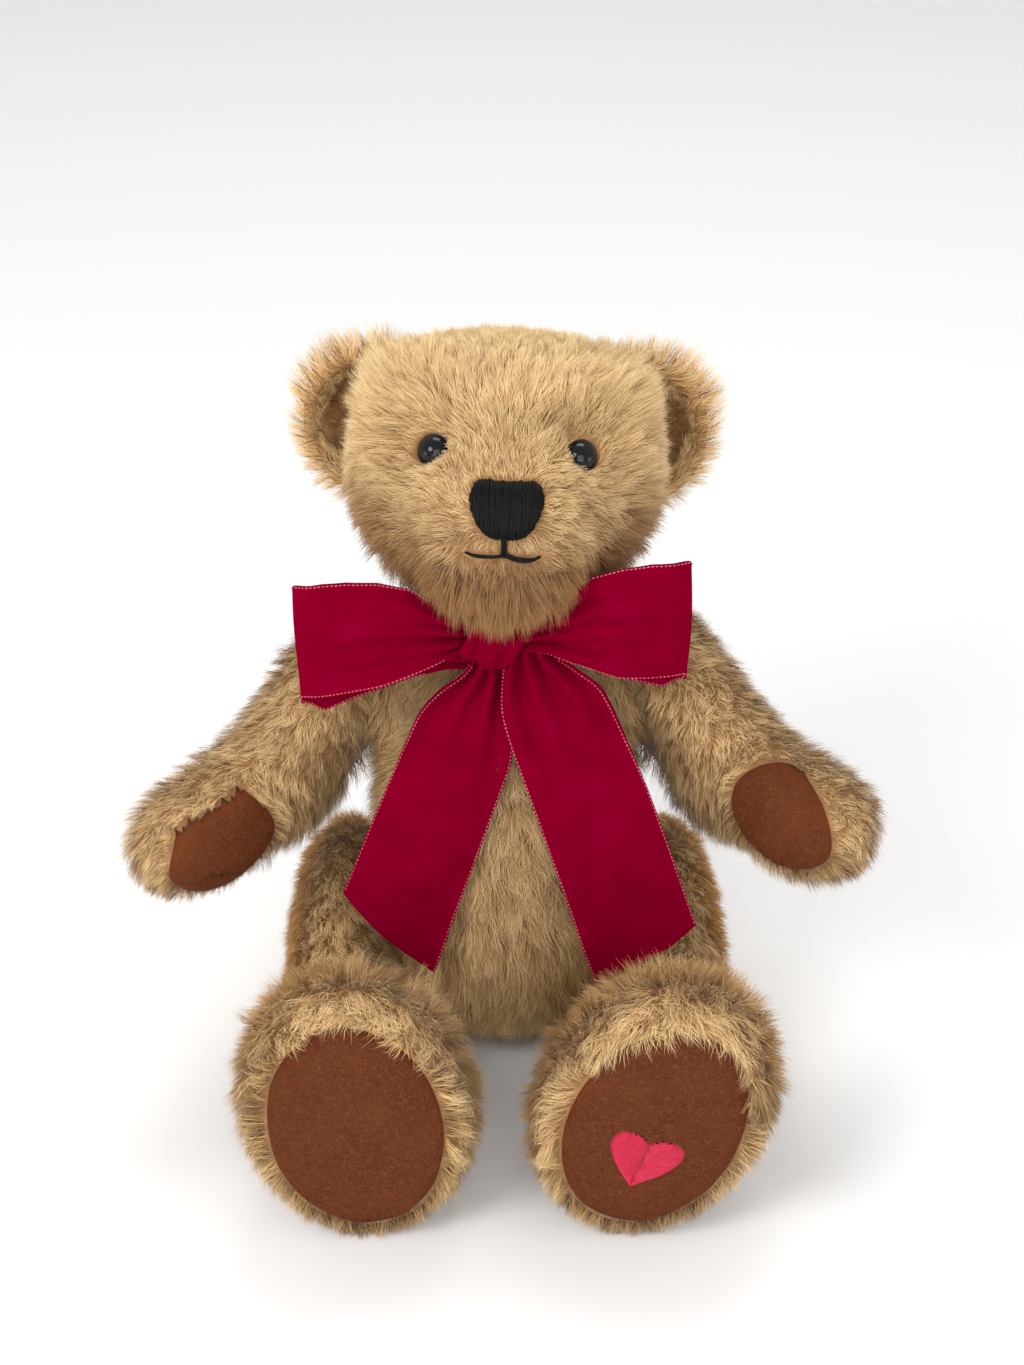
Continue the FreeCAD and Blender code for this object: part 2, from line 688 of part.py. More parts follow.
def loop_block(side_name, inset, extra):
    """The room that a loop takes, smaller by inset, and taller by extra above and below."""
    reach = LOOP_REACH[side_name]
    wires = []
    for share, half_height, depth in LOOP_SECTIONS:
        x = KNOT_AT.x + share * (reach - KNOT_AT.x) - math.copysign(inset, reach)
        y = KNOT_AT.y - share * LOOP_BACK
        z = KNOT_AT.z + share * LOOP_RISE[side_name]
        front = y - depth / 2 + inset
        back = y + depth / 2 - inset
        high = z + half_height + extra
        low = z - half_height - extra
        corners = [Vec(x, front, low), Vec(x, back, low), Vec(x, back, high), Vec(x, front, high)]
        wires.append(Part.makePolygon(corners + [corners[0]]))
    return Part.makeLoft(wires, True, True)


def bow_loop(side_name):
    """A flattened loop: a front layer, a back layer and the fold at its end."""
    hollow = loop_block(side_name, RIBBON_THICK, LOOP_OPEN)
    loop = loop_block(side_name, 0, 0).cut(hollow).cut(bow_knot(RIBBON_GAP))
    return largest(loop)


def bow_knot(growth):
    knot = Part.makeSphere(1.0)
    scale = FreeCAD.Matrix()
    scale.scale(KNOT_HALF + Vec(growth, growth, growth))
    knot = knot.transformGeometry(scale)
    knot.translate(KNOT_AT)
    return knot


def largest(shape):
    """The main piece of a shape, without the offcuts."""
    return max(shape.Solids, key=lambda solid: solid.Volume)


def bow_tail(side_name):
    """A length of ribbon that hangs from the knot over the belly, cut off at a slant."""
    length = TAIL_LENGTH[side_name]
    layer = TAIL_LAYER[side_name]
    edges = []
    for offset in (0, -RIBBON_THICK):
        points = [Vec(0, y - layer + offset, -share * length) for share, y in TAIL_LINE]
        curve = Part.BSplineCurve()
        curve.interpolate(Points=points)
        edges.append(curve.toShape())
    for share, y in (TAIL_LINE[0], TAIL_LINE[-1]):
        corner = Vec(0, y - layer, -share * length)
        edges.append(Part.makeLine(corner, corner - Y_AXIS * RIBBON_THICK))
    outline = Part.Wire(Part.__sortEdges__(edges))
    band = Part.Face(outline).extrude(X_AXIS * RIBBON_WIDTH)
    band.translate(X_AXIS * (-RIBBON_WIDTH / 2))
    for way in (1, -1):
        edge = Vec(way * RIBBON_WIDTH / 2, 0, -TAIL_GATHER)
        outwards = Vec(way * TAIL_GATHER, 0, RIBBON_WIDTH / 2 - TAIL_TOP_HALF)
        band = band.cut(beyond(edge, outwards.normalize()))
    end = Vec(0, 0, TAIL_END_RISE - length)
    end_way = Vec(TAIL_END_SLOPE[side_name], 0, -1).normalize()
    band = band.cut(beyond(end, end_way))
    band = moved(band, turned(Y_AXIS, TAIL_SPLAY[side_name]))
    band.translate(KNOT_AT + X_AXIS * TAIL_START[side_name])
    band = band.cut(bow_knot(RIBBON_GAP))
    for loop in SIDES:
        band = band.cut(loop_block(loop, -RIBBON_GAP, RIBBON_GAP))
    return largest(band)


def build_ribbon(torso_outer):
    return {
        "ribbon_neckband": neckband(torso_outer),
        "ribbon_knot": bow_knot(0.0),
        "ribbon_left_loop": bow_loop("left"),
        "ribbon_right_loop": bow_loop("right"),
        "ribbon_left_tail": bow_tail("left"),
        "ribbon_right_tail": bow_tail("right"),
    }


def main():
    os.makedirs("parts", exist_ok=True)
    nodes, torso_outer = build_torso()
    nodes.update(build_head())
    nodes.update(build_arms())
    nodes.update(build_legs())
    nodes.update(build_ribbon(torso_outer))
    for name, shape in nodes.items():
        shape.exportStep("parts/" + name + ".step")
        box = shape.BoundBox
        print(
            name, len(shape.Solids), shape.isValid(), round(shape.Volume, 1),
            [round(v, 1) for v in (box.XMin, box.XMax, box.YMin, box.YMax, box.ZMin, box.ZMax)],
        )
    print(len(nodes), "nodes")


main()
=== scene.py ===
import math

import bpy
import numpy as np
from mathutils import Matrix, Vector
from mathutils.bvhtree import BVHTree
from mathutils.kdtree import KDTree


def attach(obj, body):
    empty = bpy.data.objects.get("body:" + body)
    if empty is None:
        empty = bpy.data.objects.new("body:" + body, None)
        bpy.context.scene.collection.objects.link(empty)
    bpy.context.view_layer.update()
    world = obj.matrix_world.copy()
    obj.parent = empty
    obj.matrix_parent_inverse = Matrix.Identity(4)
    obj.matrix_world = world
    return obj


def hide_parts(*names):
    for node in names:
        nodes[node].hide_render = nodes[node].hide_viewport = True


# Jointed mohair teddy bear. Points are worked out in millimetres in the frame of the part,
# and turned into metres when a mesh is made. The bear faces -Y, its own left side is +X.

MM = 0.001
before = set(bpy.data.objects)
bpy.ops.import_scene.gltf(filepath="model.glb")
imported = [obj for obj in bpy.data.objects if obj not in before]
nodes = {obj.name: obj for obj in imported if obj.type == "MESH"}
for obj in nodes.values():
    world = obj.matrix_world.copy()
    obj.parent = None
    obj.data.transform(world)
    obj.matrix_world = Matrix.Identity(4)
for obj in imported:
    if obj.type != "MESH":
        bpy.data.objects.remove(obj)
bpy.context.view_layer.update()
rng = np.random.default_rng(54)

SIDES = {"left": 1.0, "right": -1.0}
NECK = np.array([0.0, 17.0, 157.0])
NECK_LEAN = 12.0
SHOULDER = np.array([35.5, 10.0, 119.0])
SHOULDER_RISE = 25.0
SHOULDER_SWEEP = 18.0
HIP = np.array([37.0, 8.0, 31.0])
ARM_DROP = {"left": 21.0, "right": 31.0}
FOOT_TURN = {"left": 20.0, "right": 7.0}
HEAD_CENTRE = np.array([0.0, 24.0, 192.0])
HEAD_TIP = 14.0
HEAD_ROLL = 2.5
EYE_AT = np.array([21.0, -42.2, 5.8])
EYE_FACING = np.array([0.34, -0.92, 0.20])
EYE_RADIUS = 5.1
EAR_AT = np.array([41.2, 2.0, 5.0])
SOLE_AT = np.array([6.0, -126.5, 11.2])
FOOT_PAD_HALF = (25.5, 36.0)
PAW_PAD_HALF = (13.0, 17.5)
PAW_PAD_AT = np.array([21.0, -74.0, 3.0])
PAW_PAD_FACING = {"left": (-0.66, -0.62, 0.50), "right": (-0.66, -0.62, 0.05)}
MUZZLE_TIP = np.array([0.0, -67.0, -6.0])
NOSE_TOP = 1.6
NOSE_LOW = -13.8
MOUTH_AT = -18.4
HEART_HALF = 11.0
HEART_DROP = 9.0
RIBBON_WIDTH = 36.0
STITCH_PITCH = 0.56
EDGE_PITCH = 1.25

BODY_PANELS = ["body_left_panel", "body_right_panel"]

# The cloth under the pile: the size of its cells, how much they are smoothed, and how the arms sag
VOXEL = 1.6
EAR_VOXEL = 1.0
SKIN_RELAX = 6
ARM_SAG = 13.0
WRIST_SLIM = 2.5

# The pile: hairs and tufts to a square centimetre, the hairs' width, and their length on each part
STRANDS_PER_CM2 = 310.0
CLUMPS_PER_CM2 = 14.0
HAIR_WIDTH = 0.165
PILE = {"body": 11.0, "head": 8.4, "muzzle": 5.2, "arm": 8.4, "leg": 8.2, "ear": 7.0}
LEVELS = np.array([0.0, 0.3, 0.65, 1.0])  # the levels of a hair, as shares of its length
WIDTHS = np.array([1.0, 0.9, 0.6, 0.0])  # its width at each level, as a share of the root's
EYE_CLEAR = {1: 0.8, 2: 0.7, 3: 0.4}  # how far each level stays from an eye
TOE_FRINGE = {"left": 2.1, "right": 0.6}  # how much the fur above the foot pad turns down over it
LARGEST_PIECE = 36000  # hairs in one mesh


# Frames

def turn(axis, degrees):
    angle = math.radians(degrees)
    c, s = math.cos(angle), math.sin(angle)
    if axis == "x":
        return np.array([[1, 0, 0], [0, c, -s], [0, s, c]])
    if axis == "y":
        return np.array([[c, 0, s], [0, 1, 0], [-s, 0, c]])
    return np.array([[c, -s, 0], [s, c, 0], [0, 0, 1]])


def unit(v):
    v = np.asarray(v, float)
    return v / np.maximum(np.linalg.norm(v, axis=-1, keepdims=True), 1e-9)


def dot(a, b):
    return (a * b).sum(-1, keepdims=True)


def smooth(low, high, x):
    t = np.clip((x - low) / (high - low), 0, 1)
    return t * t * (3 - 2 * t)


class Place:
    """A local frame, mirrored in x where side is -1."""

    def __init__(self, origin, rotation, side=1.0):
        self.origin = np.asarray(origin, float)
        self.rotation = rotation
        self.flip = np.array([side, 1.0, 1.0])

    def out(self, points):
        return (np.asarray(points, float) * self.flip) @ self.rotation.T + self.origin

    def way(self, directions):
        return (np.asarray(directions, float) * self.flip) @ self.rotation.T

    def back(self, points):
        return ((np.asarray(points, float) - self.origin) @ self.rotation) * self.flip

    def way_back(self, directions):
        return (np.asarray(directions, float) @ self.rotation) * self.flip


HEAD = Place(HEAD_CENTRE, turn("y", HEAD_ROLL) @ turn("x", -HEAD_TIP))
LEGS = {name: Place(HIP * (side, 1, 1), np.eye(3), side) for name, side in SIDES.items()}
ARMS = {}
for name, side in SIDES.items():
    swing = turn("x", ARM_DROP[name])
    rise = turn("y", -side * SHOULDER_RISE)
    sweep = turn("z", side * SHOULDER_SWEEP)
    ARMS[name] = Place(SHOULDER * (side, 1, 1), sweep @ rise @ swing, side)


class Pad:
    """A pad's middle and its three directions, in the bear: z points out of it, y to its far end."""

    def __init__(self, place, middle, facing, towards, half):
        self.middle = place.out(middle)
        self.z = unit(place.way(facing))
        far = place.way(towards)
        self.x = unit(np.cross(far, self.z))
        self.y = np.cross(self.z, self.x)
        self.half = half

    def at(self, x, y, z=0.0):
        x = np.asarray(x, float)[..., None]
        y = np.asarray(y, float)[..., None]
        z = np.asarray(z, float)[..., None]
        return self.middle + x * self.x + y * self.y + z * self.z

    def reach(self, points):
        """1 on the pad's edge, less inside it."""
        d = points - self.middle
        return np.hypot(d @ self.x / self.half[0], d @ self.y / self.half[1])


FOOT_PADS = {}
PAW_PADS = {}
for name in SIDES:
    roll = math.radians(FOOT_TURN[name])
    toes = (math.sin(roll), 0, math.cos(roll))
    FOOT_PADS[name] = Pad(LEGS[name], SOLE_AT, (0, -1, 0), toes, FOOT_PAD_HALF)
    PAW_PADS[name] = Pad(ARMS[name], PAW_PAD_AT, PAW_PAD_FACING[name], (0, -1, 0), PAW_PAD_HALF)


# Meshes

def mesh_object(name, points, faces, material, body=None):
    """A mesh from points in millimetres and rows of equal face sizes: faces is a list of (n, k) arrays."""
    points = np.asarray(points, np.float64).reshape(-1, 3) * MM
    faces = [np.asarray(f, np.int32) for f in faces if len(f)]
    mesh = bpy.data.meshes.new(name)
    mesh.vertices.add(len(points))
    mesh.vertices.foreach_set("co", points.astype(np.float32).ravel())
    mesh.loops.add(int(sum(f.size for f in faces)))
    mesh.loops.foreach_set("vertex_index", np.concatenate([f.ravel() for f in faces]))
    totals = np.concatenate([np.full(len(f), f.shape[1], np.int32) for f in faces])
    starts = np.concatenate([[0], np.cumsum(totals)[:-1]]).astype(np.int32)
    mesh.polygons.add(len(totals))
    mesh.polygons.foreach_set("loop_start", starts)
    mesh.polygons.foreach_set("loop_total", totals)
    mesh.update(calc_edges=True)
    mesh.polygons.foreach_set("use_smooth", np.ones(len(totals), bool))
    mesh.materials.append(material)
    made = bpy.data.objects.new(name, mesh)
    bpy.context.scene.collection.objects.link(made)
    if body:
        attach(made, body)
    return made


def grid_faces(rows, columns, wrap_columns=False, start=0):
    """Four-sided faces over a grid of points."""
    i = np.arange(rows - 1)
    j = np.arange(columns if wrap_columns else columns - 1)
    i, j = (a.ravel() for a in np.meshgrid(i, j, indexing="ij"))
    i2, j2 = i + 1, (j + 1) % columns
    quads = np.stack([i * columns + j, i2 * columns + j, i2 * columns + j2, i * columns + j2], 1)
    return quads + start


def tubes(paths, radii, sides=6):
    """Round threads along paths, each path (n, 3) with a radius for each point; closed at the ends."""
    points, quads, fans = [], [], []
    count = 0
    angles = np.linspace(0, 2 * math.pi, sides, endpoint=False)
    for path, radius in zip(paths, radii):
        path = np.asarray(path, float)
        ahead = unit(np.gradient(path, axis=0))
        helper = np.array([0.31, 0.17, 0.94]) if abs(ahead[0][2]) < 0.9 else np.array([0.94, 0.2, 0.1])
        across = unit(np.cross(ahead, helper))
        other = np.cross(ahead, across)
        radius = np.broadcast_to(radius, (len(path),))[:, None, None]
        circle = across[:, None] * np.cos(angles)[None, :, None]
        circle = circle + other[:, None] * np.sin(angles)[None, :, None]
        points.append((path[:, None] + circle * radius).reshape(-1, 3))
        quads.append(grid_faces(len(path), sides, wrap_columns=True, start=count))
        fans.append(np.arange(sides)[None, ::-1] + count)
        fans.append(np.arange(sides)[None] + count + (len(path) - 1) * sides)
        count += len(path) * sides
    return np.concatenate(points), [np.concatenate(quads), np.concatenate(fans)]


def joined(members):
    """The CAD nodes' meshes as one, in millimetres: points and triangles."""
    points, faces, count = [], [], 0
    for node in members:
        mesh = nodes[node].data
        mesh.calc_loop_triangles()
        co = np.empty(len(mesh.vertices) * 3, np.float32)
        mesh.vertices.foreach_get("co", co)
        tri = np.empty(len(mesh.loop_triangles) * 3, np.int32)
        mesh.loop_triangles.foreach_get("vertices", tri)
        points.append(co.reshape(-1, 3) / MM)
        faces.append(tri.reshape(-1, 3) + count)
        count += len(co) // 3
    return np.concatenate(points), np.concatenate(faces)


def read_mesh(mesh):
    """A mesh's points in millimetres, their normals, and its triangles."""
    mesh.calc_loop_triangles()
    co = np.empty(len(mesh.vertices) * 3, np.float32)
    mesh.vertices.foreach_get("co", co)
    normals = np.empty(len(mesh.vertices) * 3, np.float32)
    mesh.vertices.foreach_get("normal", normals)
    tri = np.empty(len(mesh.loop_triangles) * 3, np.int32)
    mesh.loop_triangles.foreach_get("vertices", tri)
    return co.reshape(-1, 3).astype(float) / MM, normals.reshape(-1, 3).astype(float), tri.reshape(-1, 3)


def doubled_areas(corner):
    """Twice the area of each triangle, from its corners (n, 3, 3)."""
    return np.linalg.norm(np.cross(corner[:, 1] - corner[:, 0], corner[:, 2] - corner[:, 0]), axis=1)


def outer_shell(points, tri):
    """Only the largest connected part of a mesh."""
    label = np.arange(len(points))
    while True:
        low = label[tri].min(1)
        new = label.copy()
        for k in range(3):
            np.minimum.at(new, tri[:, k], low)
        new = new[new]
        if (new == label).all():
            break
        label = new
    names, counts = np.unique(label, return_counts=True)
    keep = label == names[counts.argmax()]
    index = np.cumsum(keep) - 1
    return points[keep], index[tri[keep[tri[:, 0]]]]


class Skin:
    """The sewn and stuffed cloth of one body: a smooth closed surface over its CAD pieces.

    It stands for its members. The pieces inside only help to close it, and fuller moves its points.
    """

    def __init__(self, name, body, members, fill, voxel, inside=(), fuller=None):
        points, tri = joined(list(members) + list(inside))
        rough = mesh_object(name, points, [tri], MATERIALS["mohair_cloth"])
        remesh = rough.modifiers.new("whole", "REMESH")
        remesh.mode = "VOXEL"
        remesh.voxel_size = voxel * MM
        relax = rough.modifiers.new("relax", "SMOOTH")
        relax.factor = 0.5
        relax.iterations = SKIN_RELAX
        bpy.context.view_layer.update()
        whole = rough.evaluated_get(bpy.context.evaluated_depsgraph_get()).to_mesh()
        points, _, tri = read_mesh(whole)
        rough.to_mesh_clear()
        bpy.data.objects.remove(rough)
        points, tri = outer_shell(points, tri)
        if fuller:
            points = fuller(points)
        self.body = body
        self.object = mesh_object(name, points, [tri], MATERIALS["mohair_cloth"], body)
        self.points, self.normals, self.tri = read_mesh(self.object.data)
        self.tree = BVHTree.FromPolygons(self.points.tolist(), self.tri.tolist())
        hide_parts(*members)

    def hit(self, start, direction):
        """Where a ray meets the skin, and the skin's normal there."""
        found, normal, _, _ = self.tree.ray_cast(Vector(start), Vector(direction))
        if found is None:
            found, normal, _, _ = self.tree.find_nearest(Vector(start))
        return np.array(found), np.array(normal)

    def roots(self, count):
        """Random points on the skin, evenly spread, with smooth normals."""
        corner = self.points[self.tri]
        area = doubled_areas(corner)
        pick = rng.choice(len(area), count, p=area / area.sum())
        a, b = rng.random(count), rng.random(count)
        over = a + b > 1
        a[over], b[over] = 1 - a[over], 1 - b[over]
        weight = np.stack([1 - a - b, a, b], 1)[..., None]
        return (corner[pick] * weight).sum(1), unit((self.normals[self.tri[pick]] * weight).sum(1))

    def area(self):
        return float(doubled_areas(self.points[self.tri]).sum() / 2)



# Materials

def material(name, colour, roughness=0.7, sheen=0.0, sheen_tint=(1, 1, 1), **more):
    made = bpy.data.materials.new(name)
    made.use_nodes = True
    shader = made.node_tree.nodes["Principled BSDF"]
    shader.inputs["Base Color"].default_value = (*colour, 1)
    shader.inputs["Roughness"].default_value = roughness
    shader.inputs["Sheen Weight"].default_value = sheen
    shader.inputs["Sheen Roughness"].default_value = 0.4
    shader.inputs["Sheen Tint"].default_value = (*sheen_tint, 1)
    for key, value in more.items():
        shader.inputs[key.replace("_", " ")].default_value = value
    return made


def ramp(tree, source, stops):
    node = tree.nodes.new("ShaderNodeValToRGB")
    node.color_ramp.elements[0].position = stops[0][0]
    node.color_ramp.elements[0].color = (*stops[0][1], 1)
    node.color_ramp.elements[1].position = stops[-1][0]
    node.color_ramp.elements[1].color = (*stops[-1][1], 1)
    for position, colour in stops[1:-1]:
        node.color_ramp.elements.new(position).color = (*colour, 1)
    tree.links.new(source, node.inputs[0])
    return node.outputs[0]


def mottled(name, stops, scale, roughness=0.8, detail=6.0, bump=0.0, bump_scale=900.0, **more):
    """A material whose colour wanders between the stops, with a fine bump."""
    made = material(name, stops[0][1], roughness, **more)
    tree = made.node_tree
    where = tree.nodes.new("ShaderNodeTexCoord").outputs["Object"]
    noise = tree.nodes.new("ShaderNodeTexNoise")
    noise.inputs["Scale"].default_value = scale
    noise.inputs["Detail"].default_value = detail
    tree.links.new(where, noise.inputs["Vector"])
    shader = tree.nodes["Principled BSDF"]
    tree.links.new(ramp(tree, noise.outputs["Fac"], stops), shader.inputs["Base Color"])
    if bump:
        fine = tree.nodes.new("ShaderNodeTexNoise")
        fine.inputs["Scale"].default_value = bump_scale
        fine.inputs["Detail"].default_value = 4.0
        tree.links.new(where, fine.inputs["Vector"])
        raised = tree.nodes.new("ShaderNodeBump")
        raised.inputs["Strength"].default_value = bump
        raised.inputs["Distance"].default_value = 0.0006
        tree.links.new(fine.outputs["Fac"], raised.inputs["Height"])
        tree.links.new(raised.outputs["Normal"], shader.inputs["Normal"])
    return made


def fur_material(name, dark, light):
    """Pile whose colour depends on the strand's tone (u), painted light and shade included, and the distance
    from its root (v).
    """
    made = material(name, light[-1][1], 0.6, sheen=0.25, sheen_tint=(1.0, 0.86, 0.6))
    tree = made.node_tree
    shader = tree.nodes["Principled BSDF"]
    shader.inputs["Specular IOR Level"].default_value = 0.3
    uv = tree.nodes.new("ShaderNodeUVMap")
    uv.uv_map = "OFBake"
    split = tree.nodes.new("ShaderNodeSeparateXYZ")
    tree.links.new(uv.outputs[0], split.inputs[0])
    mix = tree.nodes.new("ShaderNodeMix")
    mix.data_type = "RGBA"
    tree.links.new(split.outputs["X"], mix.inputs["Factor"])
    tree.links.new(ramp(tree, split.outputs["Y"], dark), mix.inputs[6])
    tree.links.new(ramp(tree, split.outputs["Y"], light), mix.inputs[7])
    tree.links.new(mix.outputs[2], shader.inputs["Base Color"])
    return made


def from_screen(r, g, b):
    """A linear colour from a displayed one, 0 to 255."""
    return tuple(((c / 255 + 0.055) / 1.055) ** 2.4 if c > 10 else c / 255 / 12.92 for c in (r, g, b))


MATERIALS = {
    "mohair_cloth": mottled(
        "mohair_cloth",
        [(0.35, from_screen(122, 86, 50)), (0.65, from_screen(150, 110, 66))],
        220.0, 0.9, bump=0.4, sheen=0.2,
    ),
    "mohair": fur_material(
        "mohair_pile",
        dark=[
            (0.0, from_screen(88, 55, 30)),
            (0.45, from_screen(122, 84, 46)),
            (1.0, from_screen(158, 115, 68)),
        ],
        light=[
            (0.0, from_screen(184, 142, 88)),
            (0.45, from_screen(228, 188, 128)),
            (1.0, from_screen(254, 230, 178)),
        ],
    ),
    "felt": mottled(
        "wool_felt",
        [(0.3, from_screen(86, 42, 22)), (0.7, from_screen(96, 50, 27))],
        90.0, 0.95, detail=12.0, bump=0.7, bump_scale=900.0, sheen=0.05, sheen_tint=(1.0, 0.6, 0.4),
        Specular_IOR_Level=0.05,
    ),
    "felt_fibre": mottled(
        "felt_fibre", [(0.3, from_screen(92, 48, 26)), (0.7, from_screen(116, 68, 43))], 500.0, 0.8,
        Specular_IOR_Level=0.1,
    ),
    "velvet": mottled(
        "crimson_velvet",
        [(0.3, from_screen(108, 0, 27)), (0.7, from_screen(119, 0, 34))],
        90.0, 0.8, bump=0.25, bump_scale=2600.0, sheen=0.22, sheen_tint=(1.0, 0.0, 0.12),
        Specular_IOR_Level=0.0,
    ),
    "ribbon_edge": mottled(
        "ribbon_edge_thread",
        [(0.3, from_screen(176, 48, 72)), (0.7, from_screen(214, 110, 124))],
        900.0, 0.6, Specular_IOR_Level=0.2,
    ),
    "black_thread": mottled(
        "black_thread", [(0.3, (0.0025, 0.0025, 0.003)), (0.7, (0.006, 0.006, 0.006))],
        700.0, 0.45, bump=0.3, bump_scale=2200.0, Specular_IOR_Level=0.10,
    ),
    "pink_thread": mottled(
        "pink_thread", [(0.3, from_screen(164, 14, 46)), (0.7, from_screen(190, 30, 66))],
        600.0, 0.45, bump=0.2, bump_scale=2200.0, Specular_IOR_Level=0.3,
    ),
    "eye": material("eye_gloss", (0.004, 0.004, 0.005), 0.05, Specular_IOR_Level=0.28),
    # the eye's paler grey ring is a painted reflection of the lamps
    "eye_painted_reflection_ring": material("eye_painted_reflection_ring", (0.03, 0.03, 0.034), 0.25),
    "stuffing": mottled(
        "polyester_fibre", [(0.3, (0.72, 0.71, 0.68)), (0.7, (0.88, 0.87, 0.84))], 160.0, 0.9, bump=0.6,
    ),
    "hardboard": mottled(
        "hardboard", [(0.3, (0.26, 0.15, 0.07)), (0.7, (0.38, 0.24, 0.13))], 500.0, 0.6, bump=0.2,
    ),
    "steel": mottled(
        "plain_steel", [(0.3, (0.52, 0.52, 0.53)), (0.7, (0.64, 0.64, 0.64))], 700.0, 0.35, Metallic=1.0,
    ),
}

# the pieces inside keep their own shape, with a material each
for node, thing in nodes.items():
    kind = None
    if node.endswith("stuffing"):
        kind = "stuffing"
    elif node.endswith("disc"):
        kind = "hardboard"
    elif "washer" in node or node.endswith("_pin"):
        kind = "steel"
    if kind:
        if not thing.data.materials:
            thing.data.materials.append(MATERIALS[kind])
        for slot in thing.material_slots:
            slot.material = MATERIALS[kind]


# Fur

def noise_field(points, scale, seed):
    """A smooth random value for each point, about -1 to 1."""
    source = np.random.default_rng(seed)
    total = np.zeros(len(points))
    for _ in range(5):
        wave = source.normal(size=3) / scale
        total += np.sin(points @ wave * 2.2 + source.random() * 6.28)
    return total / 2.4


def strand_lines(roots, normals, comb, length, lean, bend, wave, phase, droop):
    """Points along each strand, (n, levels, 3): it leaves the skin at lean and lies down further by bend."""
    side = unit(np.cross(normals, comb))
    points = [roots]
    here = roots
    for k in range(1, len(LEVELS)):
        middle = (LEVELS[k] + LEVELS[k - 1]) / 2
        angle = lean + (bend - lean) * middle
        ahead = normals * np.cos(angle)[:, None] + comb * np.sin(angle)[:, None]
        ahead = unit(ahead + np.array([0, 0, -1.0]) * (droop * middle * middle)[:, None])
        here = here + ahead * (length * (LEVELS[k] - LEVELS[k - 1]))[:, None]
        swing = wave * math.sqrt(LEVELS[k]) * np.sin(phase + LEVELS[k] * 5.0)
        points.append(here + side * swing[:, None])
    return np.stack(points, 1)


def fur(name, skin, rule, share=1.0, seed=1):
    """Grows the pile of one skin, in tufts that each share a direction, a length and a tone.

    rule(points, normals) gives for every root the way that the hairs are combed, their length, the angles
    that they leave the skin at (lean) and lie down to (bend), how much they hang (droop), their tone with its
    painted light and shade, whether a hair is kept, and how tousled the tufts are (stray).
    """
    count = int(skin.area() / 100 * STRANDS_PER_CM2 * share)
    roots, normals = skin.roots(count)
    look = rule(roots, normals)
    keep = look["keep"] > rng.random(count)
    roots, normals = roots[keep], normals[keep]
    look = {key: value[keep] for key, value in look.items()}
    count = len(roots)
    seeds = rng.choice(count, max(8, int(skin.area() / 100 * CLUMPS_PER_CM2 * share)), replace=False)
    tree = KDTree(len(seeds))
    for k, at in enumerate(roots[seeds]):
        tree.insert(at, k)
    tree.balance()
    jittered = roots + rng.normal(size=roots.shape) * 0.5
    clump = np.array([tree.find(p)[1] for p in jittered])

    clump_turn = rng.normal(size=len(seeds)) * 0.20
    clump_length = 1 + rng.uniform(-0.18, 0.12, len(seeds))
    clump_lean = rng.normal(size=len(seeds)) * 0.13
    clump_tone = rng.normal(size=len(seeds)) * 0.08
    clump_phase = rng.random(len(seeds)) * 6.28
    clump_wave = rng.uniform(0.1, 0.75, len(seeds))
    clump_pull = rng.uniform(0.15, 0.55, len(seeds))

    def combed(comb, up, angle):
        side = np.cross(up, comb)
        return unit(comb * np.cos(angle)[:, None] + side * np.sin(angle)[:, None])

    sweep = 0.35 * noise_field(roots, 16.0, seed)
    stray = look.get("stray", np.zeros(count))
    tousled = 1 + 2.5 * stray
    angle = sweep + clump_turn[clump] * tousled + rng.normal(size=count) * (0.16 + 0.5 * stray)
    comb = combed(look["comb"], normals, angle)
    length = look["length"] * clump_length[clump] * rng.uniform(0.72, 1.12, count)
    lean = look["lean"] + clump_lean[clump] + rng.normal(size=count) * 0.14
    bend = look["bend"] + clump_lean[clump] + rng.normal(size=count) * 0.14
    phase = clump_phase[clump] + rng.normal(size=count) * 0.35
    own = strand_lines(roots, normals, comb, length, lean, bend, clump_wave[clump], phase, look["droop"])

    # each hair is drawn towards the hair in the middle of its tuft
    lead_comb = combed(look["comb"][seeds], normals[seeds], sweep[seeds] + clump_turn * tousled[seeds])
    lead = strand_lines(
        roots[seeds], normals[seeds], lead_comb, look["length"][seeds] * clump_length,
        look["lean"][seeds] + clump_lean, look["bend"][seeds] + clump_lean,
        clump_wave, clump_phase, look["droop"][seeds],
    )
    near = np.clip(1.6 - np.linalg.norm(roots - roots[seeds][clump], axis=1) / 3.4, 0, 1)
    pull = (clump_pull[clump] * near)[:, None] * LEVELS[None] ** 1.4
    own = own + (lead[clump] - own) * pull[..., None]
    own += rng.normal(size=own.shape) * (0.22 * LEVELS)[None, :, None]
    own[..., 2] = np.maximum(own[..., 2], 0.25)

    own_tone = look["tone"] + clump_tone[clump] * (1 + 2.0 * stray) + rng.normal(size=count) * 0.12
    own_tone = own_tone + 0.08 * noise_field(roots, 9.0, seed + 1)
    tone = np.clip(own_tone, 0.02, 0.98)
    good = look_clear(own)
    own, normals, tone, comb = own[good], normals[good], tone[good], comb[good]
    thick = HAIR_WIDTH * rng.uniform(0.7, 1.25, len(own))
    pieces = int(math.ceil(len(own) / LARGEST_PIECE))
    for part in range(pieces):
        pick = slice(part, None, pieces)
        label = name if pieces == 1 else f"{name}_{part + 1}"
        blades(label, skin.body, own[pick], normals[pick], tone[pick], thick[pick])


def look_clear(lines):
    """False for strands that would reach into an eye or cover the stitched nose and mouth."""
    good = np.ones(len(lines), bool)
    for level in (1, 2, 3):
        good &= ~nose_area(HEAD.back(lines[:, level]), -0.5)
    for side in SIDES.values():
        centre = HEAD.out(EYE_AT * (side, 1, 1))
        for level in (1, 2, 3):
            good &= np.linalg.norm(lines[:, level] - centre, axis=1) > EYE_RADIUS + EYE_CLEAR[level]
    return good


